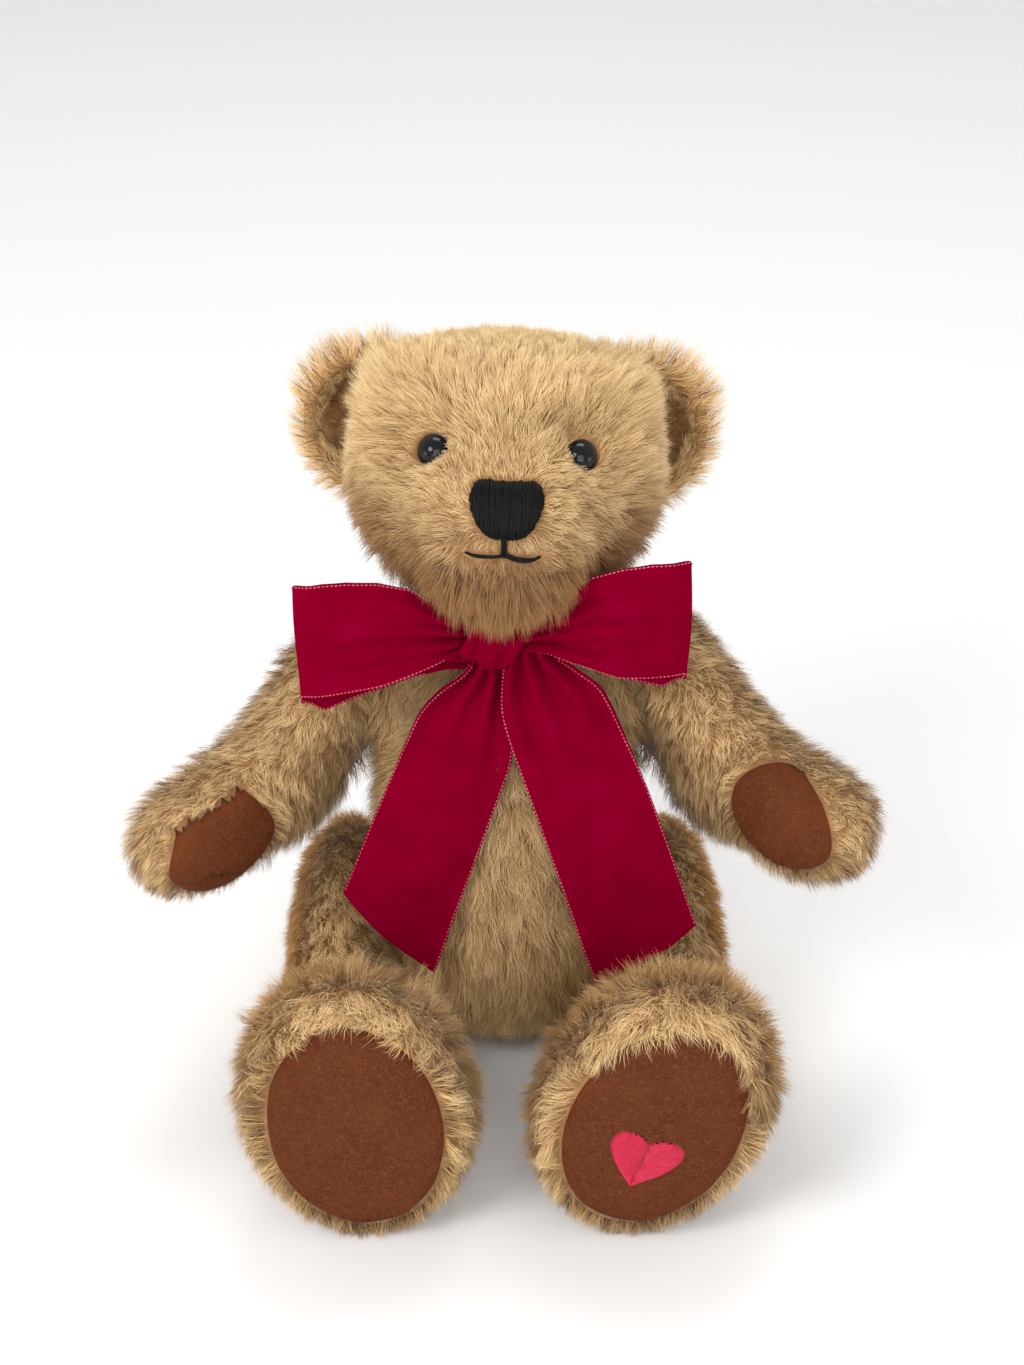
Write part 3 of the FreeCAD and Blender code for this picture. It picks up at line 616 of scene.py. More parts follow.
def blades(name, body, lines, normals, tone, thick):
    """Flat tapering hairs: two points at each level and one at the tip, shaded partly as the skin below."""
    count = len(lines)
    ahead = unit(np.gradient(lines, axis=1))
    across = unit(np.cross(ahead, normals[:, None]) + rng.normal(size=(count, 1, 3)) * 0.25)
    half = across * (thick[:, None] * WIDTHS[None] / 2)[..., None]
    pairs = np.stack([lines - half, lines + half], 2)[:, :3].reshape(count, 6, 3)
    points = np.concatenate([pairs, lines[:, 3:4]], 1)
    base = np.arange(count)[:, None] * 7
    quads = np.concatenate([base + np.array([[0, 1, 3, 2]]), base + np.array([[2, 3, 5, 4]])])
    tips = base + np.array([[4, 5, 6]])
    made = mesh_object(name, points.reshape(-1, 3), [quads, tips], MATERIALS["mohair"], body)
    mesh = made.data
    layer = mesh.uv_layers.new(name="OFBake")
    # u is the strand's tone, painted light and shade included
    u = np.repeat(tone, 7)
    v = np.tile(np.append(np.repeat(LEVELS[:3], 2), LEVELS[3]), count) * 0.96 + 0.02
    index = np.empty(len(mesh.loops), np.int32)
    mesh.loops.foreach_get("vertex_index", index)
    layer.data.foreach_set("uv", np.stack([u[index], v[index]], 1).astype(np.float32).ravel())
    blade_up = unit(np.cross(across, ahead))
    blade_up *= np.sign(dot(blade_up, normals[:, None]) + 1e-9)
    shade = unit(blade_up * 0.5 + normals[:, None] * 0.7)
    shade = np.concatenate([np.repeat(shade[:, :3], 2, axis=1), shade[:, 3:4]], 1)
    mesh.normals_split_custom_set_from_vertices(shade.reshape(-1, 3).tolist())


def flat_on_joint(points, normals, origin, axis, reach):
    """True where a skin is pressed against the body at a joint."""
    d = points - origin
    along = np.abs(d @ axis)
    return (along < 1.3) & (np.abs(normals @ axis) > 0.8) & (np.linalg.norm(d, axis=1) < reach)


def tangent(directions, normals):
    """Directions laid flat on the skin."""
    return unit(directions - normals * dot(directions, normals))


NECK_AXIS = np.array([0, math.sin(math.radians(NECK_LEAN)), math.cos(math.radians(NECK_LEAN))])


def head_rule(points, normals):
    """Combed back from the nose, short on the muzzle and round the eyes, long at the chin and cheeks."""
    q = HEAD.back(points)
    from_nose = q - MUZZLE_TIP
    out = np.linalg.norm(from_nose, axis=1)
    chin = smooth(-16, -32, q[:, 2]) * smooth(-20, -38, q[:, 1])
    front = smooth(-18, -40, q[:, 1])
    comb = from_nose + np.array([0, 0, -60.0]) * chin[:, None] + np.array([0, 8.0, 0])
    crown = smooth(12, 30, q[:, 2]) * (1 - front)
    comb = comb + np.array([0, 20.0, 0]) * crown[:, None]
    length = PILE["head"] - 2.4 * crown * smooth(30, 14, np.abs(q[:, 0]))
    muzzle = 1 - smooth(14, 34, out)
    length = length * (1 - muzzle) + PILE["muzzle"] * muzzle
    bridge = smooth(-30, -48, q[:, 1]) * smooth(-14, 2, q[:, 2])
    length = length - 1.6 * bridge
    length = length + 4.5 * chin
    cheek = smooth(24, 38, np.abs(q[:, 0])) * smooth(2, -14, q[:, 2]) * (1 - muzzle)
    length = length + 2.0 * cheek
    low = smooth(0, -22, q[:, 2])
    corner = smooth(24, 36, np.abs(q[:, 0])) * smooth(6, 22, q[:, 2])
    length = length + 4.5 * corner
    comb = comb + np.array([0, 0, 26.0]) * corner[:, None]
    # painted light and shade: the pile lighter towards the top of the head and darker on the chin, the lower
    # cheeks and the lower head, where less light falls; the muzzle a little lighter
    tone = 0.52 + 0.26 * smooth(2, 24, q[:, 2]) - 0.92 * chin - 0.24 * cheek - 0.38 * low + 0.14 * muzzle
    eye_gap = np.full(len(q), 99.0)
    for side in SIDES.values():
        d = q - EYE_AT * (side, 1, 1)
        gap = np.linalg.norm(d, axis=1)
        eye_gap = np.minimum(eye_gap, gap)
        # painted shade: a darker patch in the pile just above each eye, deeper above the left eye
        above = np.exp(-((d[:, 0] + side * 1.5) / 6.5) ** 2 - ((d[:, 2] - 8.5) / 5.0) ** 2) * front
        tone = tone - (0.34 if side > 0 else 0.2) * above
    near_eye = 1 - smooth(6, 13, eye_gap)
    length = length * (1 - 0.58 * near_eye)
    keep = (eye_gap > 5.7).astype(float)
    keep *= ~nose_area(q, -0.3)
    lip = np.exp(-((q[:, 2] - MOUTH_AT) / 4.0) ** 2) * (1 - smooth(9, 17, np.abs(q[:, 0]))) * front
    length = length * (1 - 0.62 * lip)
    keep *= ~flat_on_joint(points, normals, NECK, NECK_AXIS, 24)
    lean = 0.85 - 0.15 * crown + 0.05 * muzzle - 0.35 * corner
    bend = 1.2 + 0.05 * muzzle - 0.2 * chin - 0.35 * corner
    return {
        "comb": tangent(HEAD.way(comb), normals), "length": length, "lean": lean, "bend": bend,
        "droop": 0.25 + 1.3 * chin + 0.5 * cheek, "tone": tone, "keep": keep,
    }


def nose_half(s):
    """Half the nose's width at a share of its height from the top."""
    shares = [0, 0.08, 0.22, 0.38, 0.6, 0.8, 0.92, 1.0]
    return np.interp(s, shares, [7.8, 9.4, 10.2, 10.3, 9.4, 7.8, 6.2, 4.0])


def nose_area(q, margin):
    """True for points of the head's frame that lie on the stitched nose or mouth, grown by the margin."""
    s = (NOSE_TOP - q[:, 2]) / (NOSE_TOP - NOSE_LOW)
    off = np.abs(q[:, 0])
    inside = (s > -margin / 17) & (s < 1 + margin / 17) & (off < nose_half(np.clip(s, 0, 1)) + margin)
    stem = (off < 0.9) & (q[:, 2] < NOSE_LOW) & (q[:, 2] > MOUTH_AT)
    curve = np.abs(q[:, 2] - MOUTH_AT + 0.9 * np.sin(np.clip(off / 11, 0, 1) * 3)) < 0.8
    mouth = curve & (off < 11.5)
    return (inside | stem | mouth) & (q[:, 1] < -40)


def torso_rule(points, normals):
    """Combed down, shorter at the neck and under the seat."""
    comb = tangent(np.array([0, 0, -1.0]) + normals * [0.5, 0.2, 0], normals)
    top = smooth(128, 150, points[:, 2])
    low = smooth(30, 8, points[:, 2])
    length = PILE["body"] - 3.5 * top - 3.0 * low
    keep = np.ones(len(points))
    keep *= ~flat_on_joint(points, normals, NECK, NECK_AXIS, 24)
    for side in SIDES.values():
        keep *= ~flat_on_joint(points, normals, HIP * (side, 1, 1), np.array([1.0, 0, 0]), 25)
        axis = ARMS["left" if side > 0 else "right"].way((1, 0, 0))
        keep *= ~flat_on_joint(points, normals, SHOULDER * (side, 1, 1), axis, 18)
    keep *= normals[:, 2] > -0.93
    # painted shade: the pile darker near the neck, under the head, and a little darker low down under the
    # seat
    tone = 0.38 - 0.16 * top - 0.02 * low
    ones = np.ones(len(points))
    return {
        "comb": comb, "length": length, "lean": 0.7 * ones, "bend": 1.15 * ones, "droop": 0.3 * ones,
        "tone": tone, "keep": keep, "stray": 0.4 * ones,
    }


def arm_rule(name):
    """Combed towards the paw, longer under the arm, and parted round the paw pad."""
    place, pad = ARMS[name], PAW_PADS[name]

    def rule(points, normals):
        q = place.back(points)
        n = place.way_back(normals)
        t = -q[:, 1]
        comb = place.way((0, -1.0, 0)) + np.array([0, 0, -0.25])
        tip = smooth(70, 90, t)
        above = smooth(0.0, 0.7, n[:, 2])
        under_arm = smooth(-0.1, -0.8, n[:, 2]) * smooth(70, 40, t)
        length = PILE["arm"] - 0.6 * tip - 2.2 * above + 3.0 * under_arm
        facing = normals @ pad.z
        reach = pad.reach(points)
        on_pad = (reach < 1.0) & (facing > 0.05)
        edge = np.exp(-((reach - 1.05) / 0.22) ** 2) * (facing > 0.0)
        length = length * (1 - 0.35 * edge)
        away = unit(points - pad.middle - pad.z * dot(points - pad.middle, pad.z))
        comb = unit(comb) * (1 - 0.6 * edge)[:, None] + away * (0.6 * edge)[:, None]
        keep = (~on_pad).astype(float)
        keep *= ~((q[:, 0] < 0.9) & (n[:, 0] < -0.8) & (t < 30))
        # painted light and shade: the pile lighter where it faces up and darker where it faces down
        tone = 0.50 + 0.16 * smooth(0, 1, n[:, 2]) - 0.14 * smooth(0, -1, n[:, 2])
        ones = np.ones(len(q))
        return {
            "comb": tangent(comb, normals), "length": length, "lean": 0.72 * ones - 0.25 * edge,
            "bend": 1.1 * ones - 0.35 * edge, "droop": 0.2 * ones, "tone": tone, "keep": keep,
            "stray": 0.25 * ones,
        }

    return rule


def leg_rule(name):
    """Combed towards the foot, spread round the foot pad, with a tousled fringe over the toes."""
    place, pad = LEGS[name], FOOT_PADS[name]

    def rule(points, normals):
        q = place.back(points)
        n = place.way_back(normals)
        t = -q[:, 1]
        foot = smooth(84, 104, t)
        radial = points - pad.middle
        radial = unit(radial - pad.z * dot(radial, pad.z))
        front = smooth(0.1, 0.75, -n[:, 1]) * foot
        toes = smooth(0.3, 0.95, radial @ pad.y) * smooth(96, 112, t)
        over = front * smooth(0.2, 0.8, radial @ pad.y)
        outward = 0.35 * foot + 1.1 * front - TOE_FRINGE[name] * over
        comb = np.array([0, -1.0, 0]) + radial * outward[:, None]
        length = PILE["leg"] + 1.4 * foot + 5.0 * toes * smooth(0.2, 0.8, n[:, 2]) - 0.4 * front
        reach = pad.reach(points)
        on_pad = (reach < 1.0) & (n[:, 1] < -0.25) & (t > 100)
        edge = np.exp(-((reach - 1.0) / 0.16) ** 2) * (n[:, 1] < -0.1) * foot
        length = length * (1 - 0.12 * edge)
        under = smooth(0, -0.7, n[:, 2])
        length = length * (1 - 0.35 * under)
        keep = (~on_pad).astype(float)
        keep *= ~((q[:, 0] < 0.9) & (n[:, 0] < -0.8) & (t < 34))
        ones = np.ones(len(q))
        thigh = 1 - smooth(40, 80, t)
        # painted light and shade: the pile lighter where it faces up, on the thigh against the shadow of the
        # arm, and on the toes; darker where it faces down
        tone = 0.64 + 0.10 * smooth(0, 1, n[:, 2]) + 0.34 * thigh - 0.34 * under + 0.10 * toes
        return {
            "comb": tangent(comb, normals), "length": length, "lean": 0.72 * ones - 0.15 * toes - 0.2 * front,
            "bend": 1.15 * ones + 0.1 * toes - 0.15 * front, "droop": 0.3 * ones * (1 - toes),
            "tone": tone, "keep": keep, "stray": 0.55 * front + 0.25 * toes + 0.2 * thigh,
        }

    return rule


def ear_rule(side):
    """Combed out from the ear's root to its rim, short in the hollow, where painted shade darkens it."""

    def rule(points, normals):
        q = HEAD.back(points) - EAR_AT * (side, 1, 1)
        n = HEAD.way_back(normals)
        radial = q * (1, 0, 1)
        out = np.linalg.norm(radial, axis=1)
        base = np.array([-side * 9.0, 0, -18.0])
        comb = HEAD.way(q - base)
        hollow = smooth(0.1, 0.5, -n[:, 1]) * smooth(17, 12.5, out)
        rim = smooth(13.5, 18.5, out)
        top = smooth(-4, 14, q[:, 2])
        length = PILE["ear"] - 2.5 * hollow + 0.4 * rim + 3.4 * rim * top
        # painted shade darkens the hollow of the ear
        tone = 0.96 - 1.04 * hollow + 0.10 * rim
        ones = np.ones(len(q))
        in_head = (HEAD.back(points) + np.array([0, 3.0, 2.0])) / np.array([43.0, 44.0, 35.0])
        keep = ((in_head ** 2).sum(1) > 1.0).astype(float)
        return {
            "comb": tangent(comb, normals), "length": length, "lean": 0.85 * ones - 0.3 * rim,
            "bend": 1.1 * ones - 0.3 * rim, "droop": 0.05 * ones, "tone": tone, "keep": keep,
        }

    return rule


# Camera, floor and light

CAMERA_DISTANCE = 0.810
CAMERA_RISE = math.radians(30.0)
CAMERA_LENS = 91.4
LOOK_AT = Vector((0.002, 0.0, 0.1225))

scene = bpy.context.scene
camera_data = bpy.data.cameras.new("camera")
camera_data.sensor_fit = "HORIZONTAL"
camera_data.sensor_width = 36.0
camera_data.lens = CAMERA_LENS
camera = bpy.data.objects.new("camera", camera_data)
scene.collection.objects.link(camera)
away = Vector((0, -math.cos(CAMERA_RISE), math.sin(CAMERA_RISE)))
camera.location = LOOK_AT + away * CAMERA_DISTANCE
camera.rotation_euler = (math.radians(90) - CAMERA_RISE, 0, 0)
scene.camera = camera
scene.view_settings.view_transform = "Standard"

floor_material = material("pale_floor", (0.86, 0.86, 0.86), 0.7)
floor = mesh_object(
    "floor", [(-4000, -4000, 0), (4000, -4000, 0), (4000, 4000, 0), (-4000, 4000, 0)],
    [np.array([[0, 1, 2, 3]])], floor_material,
)

world = bpy.data.worlds.new("studio")
scene.world = world
world.use_nodes = True
world.node_tree.nodes["Background"].inputs[0].default_value = (1.0, 1.0, 1.0, 1)
world.node_tree.nodes["Background"].inputs[1].default_value = 0.72


def softbox(name, at, size, watts, colour=(1, 1, 1)):
    """A rectangular area light that faces the bear."""
    light = bpy.data.lights.new(name, "AREA")
    light.shape = "RECTANGLE"
    light.size, light.size_y = size
    light.energy = watts
    light.color = colour
    made = bpy.data.objects.new(name, light)
    made.location = at
    made.rotation_euler = (LOOK_AT - Vector(at)).to_track_quat("-Z", "Y").to_euler()
    scene.collection.objects.link(made)


softbox("key", (-0.75, -0.85, 1.0), (0.55, 0.55), 9.4, (1.0, 0.98, 0.95))
softbox("front", (0.15, -1.25, 0.62), (0.9, 0.9), 7.4)
softbox("top", (0.1, 0.5, 1.3), (0.7, 0.5), 5.0)
softbox("low_fill", (0.0, -1.3, 0.24), (1.2, 0.4), 1.8)
softbox("left_fill", (1.2, -0.5, 0.22), (0.5, 0.4), 1.6)
softbox("right_fill", (-1.2, -0.5, 0.22), (0.5, 0.4), 1.6)


# The stuffed cloth of each body

def fuller_arm(name):
    """Lets the upper arm sag towards the thigh, and slims the wrist from above."""
    place = ARMS[name]

    def fill(points):
        q = place.back(points)
        t = -q[:, 1]
        sag = ARM_SAG * smooth(-8, 14, t) * smooth(72, 40, t) * smooth(6, -16, q[:, 2])
        slim = WRIST_SLIM * smooth(10, 50, t) * smooth(0, 12, q[:, 2])
        slimmer = place.out(q - np.array([0, 0, 1.0]) * slim[:, None])
        return slimmer - np.array([0, 0, 1.0]) * sag[:, None]

    return fill


torso = Skin("body_cloth", "torso", BODY_PANELS, 0.9, VOXEL, ["body_stuffing"])
members = ["head_left_panel", "head_right_panel", "head_gusset"]
head = Skin("head_cloth", "head", members, 0.95, VOXEL, ["head_stuffing"])
ears = {}
for name in SIDES:
    members = [f"{name}_ear_back", f"{name}_ear_front"]
    ears[name] = Skin(f"{name}_ear_cloth", "head", members, 0.1, EAR_VOXEL)
arms = {}
legs = {}
for name in SIDES:
    members = [f"{name}_arm_outer_panel", f"{name}_arm_inner_panel"]
    inside = [f"{name}_arm_stuffing", f"{name}_paw_pad"]
    arms[name] = Skin(f"{name}_arm_cloth", f"{name}_arm", members, 0.9, VOXEL, inside, fuller_arm(name))
    members = [f"{name}_leg_outer_panel", f"{name}_leg_inner_panel"]
    inside = [f"{name}_leg_stuffing", f"{name}_foot_pad"]
    legs[name] = Skin(f"{name}_leg_cloth", f"{name}_leg", members, 0.9, VOXEL, inside)


# Felt pads

def felt_pad(name, node, skin, pad, start, seed):
    """A domed felt oval sewn into the foot or paw, its edge drawn in by the seam."""
    rings, spokes = 34, 132
    share = np.linspace(0, 1, rings)[1:] ** 0.85 * 1.03
    angle = np.linspace(0, 2 * math.pi, spokes, endpoint=False)
    gather = noise_field(np.stack([np.cos(angle), np.sin(angle), np.zeros(spokes)], 1) * 60, 7.0, seed)
    points = [[0.0, 0.0]]
    for s in share:
        for a in angle:
            points.append([s * math.cos(a) * pad.half[0], s * math.sin(a) * pad.half[1]])
    points = np.array(points)
    flat = pad.at(points[:, 0], points[:, 1], start)
    radius = np.concatenate([[0], np.repeat(share, spokes)])
    around = np.concatenate([[0], np.tile(gather, len(share))])
    waves = noise_field(flat, 11.0, seed + 5)
    placed = []
    for k, at in enumerate(flat):
        found, normal = skin.hit(at, -pad.z)
        r = radius[k]
        lift = 0.35 + 1.5 * (1 - r ** 8) + 0.22 * around[k] * r ** 3 * (1 - r ** 16) + 0.22 * waves[k]
        if r > 1.0:
            lift = -0.6
        placed.append(found + normal * lift)
    placed = np.array(placed)
    fan = np.array([[0, 1 + (k + 1) % spokes, 1 + k] for k in range(spokes)])[:, ::-1]
    quads = grid_faces(len(share), spokes, wrap_columns=True, start=1)
    made = mesh_object(name, placed, [quads, fan], MATERIALS["felt"], skin.body)
    if made.data.vertices[0].normal.dot(Vector(pad.z)) < 0:
        made.data.flip_normals()
    edge = made.modifiers.new("felt_thickness", "SOLIDIFY")
    edge.thickness = 0.0012
    edge.offset = -1
    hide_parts(node)
    return made


def felt_fibres(name, body, made, pad, count):
    """Short stray fibres lying on the felt."""
    points, normals, tri = read_mesh(made.data)
    corner = points[tri]
    area = doubled_areas(corner)
    pick = rng.choice(len(area), count, p=area / area.sum())
    weight = rng.dirichlet((1, 1, 1), count)[..., None]
    at = (corner[pick] * weight).sum(1)
    up = unit((normals[tri[pick]] * weight).sum(1))
    comb = tangent(rng.normal(size=(count, 3)), up)
    length = rng.uniform(1.2, 3.6, count)
    curl = rng.normal(size=count) * 0.5
    phase = rng.random(count) * 6
    lean, bend = np.full(count, 1.2), np.full(count, 1.62)
    lines = strand_lines(at, up, comb, length, lean, bend, curl, phase, np.zeros(count))
    good = pad.reach(lines[:, 3]) < 0.97
    lines, up = lines[good], up[good]
    ahead = unit(np.gradient(lines, axis=1))
    across = unit(np.cross(ahead, up[:, None]))
    half = across * (0.075 * np.array([1, 1, 0.8, 0.5]))[None, :, None]
    pairs = np.stack([lines - half, lines + half], 2).reshape(-1, 3)
    base = np.arange(len(lines))[:, None] * 8
    quads = np.concatenate([base + np.array([[a, a + 1, a + 3, a + 2]]) for a in (0, 2, 4)])
    hairs = mesh_object(name, pairs, [quads], MATERIALS["felt_fibre"], body)


pads = {}
for name in SIDES:
    foot, paw = FOOT_PADS[name], PAW_PADS[name]
    pads[name, "foot"] = felt_pad(f"{name}_foot_felt", f"{name}_foot_pad", legs[name], foot, 30.0, 3)
    pads[name, "paw"] = felt_pad(f"{name}_paw_felt", f"{name}_paw_pad", arms[name], paw, 40.0, 8)
    felt_fibres(f"{name}_foot_fibres", f"{name}_leg", pads[name, "foot"], foot, 5200)
    felt_fibres(f"{name}_paw_fibres", f"{name}_arm", pads[name, "paw"], paw, 1800)


# Face

def on_muzzle(x, z, raise_by=0.0):
    """Points on the front of the head, in the bear, over head-frame x and z."""
    found = []
    for a, b, c in zip(np.ravel(x), np.ravel(z), np.broadcast_to(np.ravel(raise_by), np.ravel(x).shape)):
        start = HEAD.out((a, -95.0, b))
        at, normal = head.hit(start, HEAD.way((0, 1, 0)))
        found.append(at + normal * c)
    return np.array(found)


def embroidered_nose():
    """Upright satin stitches side by side, over a slightly padded shield shape."""
    shares = np.linspace(0, 1, 400)
    halves = nose_half(shares)
    paths, radii = [], []
    for x in np.arange(-10.2, 10.21, STITCH_PITCH):
        inside = shares[halves >= abs(x)]
        if len(inside) < 8:
            continue
        low = NOSE_TOP - inside[-1] * (NOSE_TOP - NOSE_LOW) + rng.uniform(-0.35, 0.25)
        high = NOSE_TOP - inside[0] * (NOSE_TOP - NOSE_LOW) + rng.uniform(-0.2, 0.3)
        steps = np.linspace(0, 1, 13)
        swell = (1 - (2 * steps - 1) ** 8) * (1 - (abs(x) / 10.9) ** 6)
        lift = -0.3 + 2.5 * swell + rng.uniform(-0.08, 0.08)
        wander = x + 0.10 * np.sin(steps * 3 + rng.random() * 6)
        paths.append(on_muzzle(wander, high + (low - high) * steps, lift))
        radii.append(np.full(13, rng.uniform(0.40, 0.46)))
    points, faces = tubes(paths, radii, 7)
    made = mesh_object("nose_threads", points, faces, MATERIALS["black_thread"], "head")
    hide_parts("nose_stitching")


def embroidered_mouth():
    """A stem of two stitches down from the nose, and a smile of two curved ones to each side."""
    steps = np.linspace(0, 1, 14)
    paths, radii = [], []
    for shift in (-0.45, 0.45):
        z = NOSE_LOW + 0.6 + (MOUTH_AT - NOSE_LOW - 0.9) * steps
        paths.append(on_muzzle(np.full(14, shift - 0.3), z, 1.3))
        radii.append(np.full(14, 0.5))
    for side, reach, dip in ((-1, 11.0, 0.9), (1, 10.4, 1.7)):
        for k in range(2):
            x = side * reach * steps - 0.2
            z = MOUTH_AT + 0.35 - dip * np.sin(steps * 2.6) + 0.35 * k * (1 - steps) * side
            lift = 1.5 - 1.2 * smooth(0.75, 1.0, steps)
            paths.append(on_muzzle(x, z + 0.3 * k, lift))
            radii.append(0.5 * (1 - 0.5 * smooth(0.6, 1, steps)))
    points, faces = tubes(paths, radii, 6)
    made = mesh_object("mouth_threads", points, faces, MATERIALS["black_thread"], "head")
    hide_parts("mouth_stitching")


def glass_eye(name, side):
    """A domed eye, with a thin paler ring where it meets the fur: a painted reflection of the lamps."""
    centre = HEAD.out(EYE_AT * (side, 1, 1))
    facing = unit(HEAD.way(EYE_FACING * (side, 1, 1)))
    across = unit(np.cross(facing, (0, 0, 1.0)))
    up = np.cross(across, facing)
    rows, spokes = 22, 56
    polar = np.linspace(0.02, math.radians(104), rows)
    angle = np.linspace(0, 2 * math.pi, spokes, endpoint=False)
    points = [centre + facing * EYE_RADIUS * 0.96]
    for p in polar:
        for a in angle:
            radial = across * math.cos(a) + up * math.sin(a)
            ahead = facing * (EYE_RADIUS * 0.96 * math.cos(p))
            points.append(centre + ahead + radial * EYE_RADIUS * math.sin(p))
    fan = np.array([[0, 1 + k, 1 + (k + 1) % spokes] for k in range(spokes)])
    quads = grid_faces(rows, spokes, wrap_columns=True, start=1)
    made = mesh_object(name, np.array(points), [quads, fan], MATERIALS["eye"], "head")
    # a thin paler ring round the eye's edge, a painted reflection of the lamps
    ring_at = centre + facing * 0.9
    ring = []
    for a in np.linspace(0, 2 * math.pi, 49):
        ring.append(ring_at + (across * math.cos(a) + up * math.sin(a)) * (EYE_RADIUS - 0.02))
    points, faces = tubes([np.array(ring)], [0.28], 6)
    rim = mesh_object(name + "_painted_reflection_ring", points, faces, MATERIALS["eye_painted_reflection_ring"], "head")
    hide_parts(name)


embroidered_nose()
embroidered_mouth()
for name, side in SIDES.items():
    glass_eye(f"{name}_eye", side)


# Heart in satin stitch on the left foot's pad

def in_heart(across, up):
    """Whether points of the pad lie within the heart's outline."""
    a = np.linspace(0, math.pi, 400)
    side = 16 * np.sin(a) ** 3 * HEART_HALF / 16.0
    height = (13 * np.cos(a) - 5 * np.cos(2 * a) - 2 * np.cos(3 * a)) * HEART_HALF / 16.0
    peak = height.argmax()
    widest = side.argmax()
    top = np.interp(
        across,
        np.concatenate([side[: peak + 1], side[peak: widest + 1]]),
        np.concatenate([height[: peak + 1], height[peak: widest + 1]]),
    )
    low = np.interp(across, side[: widest - 1: -1], height[: widest - 1: -1])
    return (up < top) & (up > low) & (across <= side.max())



def heart():
    """Satin stitches in two lobes, slightly raised along their middles."""
    pad, felt = FOOT_PADS["left"], pads["left", "foot"]
    points, _, tri = read_mesh(felt.data)
    tree = BVHTree.FromPolygons(points.tolist(), tri.tolist())
    paths, radii = [], []
    steps = np.linspace(0, 1, 9)
    slope = 0.35
    for sign in (-1, 1):
        for level in np.arange(-16.0, 12.0, 0.52):
            # each stitch runs from the middle line outwards and a little upwards, to the far side of its lobe
            reach = np.linspace(0.0, 12.0, 240)
            inside = in_heart(reach, level + slope * reach)
            if inside.sum() < 8:
                continue
            first, last = reach[inside][0], reach[inside][-1]
            across = (first + (last - first) * steps) * sign
            up = level + slope * np.abs(across)
            placed = []
            for k, at in enumerate(pad.at(across, up - HEART_DROP, 30.0)):
                found = tree.ray_cast(Vector(at), Vector(-pad.z))[0]
                lift = -0.15 + 0.95 * math.sqrt(max(0.0, 1 - (2 * steps[k] - 1) ** 4))
                placed.append(np.array(found) + pad.z * lift)
            paths.append(np.array(placed))
            radii.append(np.full(9, 0.33))
    points, faces = tubes(paths, radii, 6)
    made = mesh_object("heart_threads", points, faces, MATERIALS["pink_thread"], "left_leg")
    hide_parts("heart_embroidery")


heart()


# Ribbon

def belly(z, off):
    """How far forward the front of the body is at a height, plus some distance."""
    heights = [30, 50, 57, 82, 108, 130, 150, 165]
    return np.interp(z, heights, [-38, -39.5, -39, -33, -24, -18, -14, -12]) - off


def ribbon_sheet(name, node, surface):
    """A sheet of velvet ribbon from a grid of points (along, across, 3)."""
    rows, columns, _ = surface.shape
    faces = [grid_faces(rows, columns)]
    made = mesh_object(name, surface.reshape(-1, 3), faces, MATERIALS["velvet"], "torso")
    thick = made.modifiers.new("pile", "SOLIDIFY")
    thick.thickness = 0.0009
    thick.offset = 0
    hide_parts(node)
    return made


def edge_stitches(name, surface, first, last):
    """Small pale stitches along both woven edges of a ribbon, from its first row to its last."""
    paths, radii = [], []
    ahead = np.gradient(surface, axis=0)
    aside = np.gradient(surface, axis=1)
    columns = surface.shape[1]
    for column, inner in ((0, 1), (columns - 1, columns - 2)):
        line = (surface[:, column] + (surface[:, inner] - surface[:, column]) * 0.5)[first:last]
        normal = unit(np.cross(ahead[:, column], aside[:, column]))[first:last]
        step = np.concatenate([[0], np.cumsum(np.linalg.norm(np.diff(line, axis=0), axis=1))])
        for s in np.arange(0.6, step[-1] - 0.6, EDGE_PITCH):
            a = np.array([np.interp(s - 0.36, step, line[:, k]) for k in range(3)])
            b = np.array([np.interp(s + 0.36, step, line[:, k]) for k in range(3)])
            up = unit(np.array([np.interp(s, step, normal[:, k]) for k in range(3)]))
            for way in (1, -1):
                m = (a + b) / 2 + up * 0.62 * way
                paths.append(np.array([a + up * 0.4 * way, m, b + up * 0.4 * way]))
                radii.append(np.array([0.12, 0.24, 0.12]))
    points, faces = tubes(paths, radii, 5)
    made = mesh_object(name, points, faces, MATERIALS["ribbon_edge"], "torso")
    return made


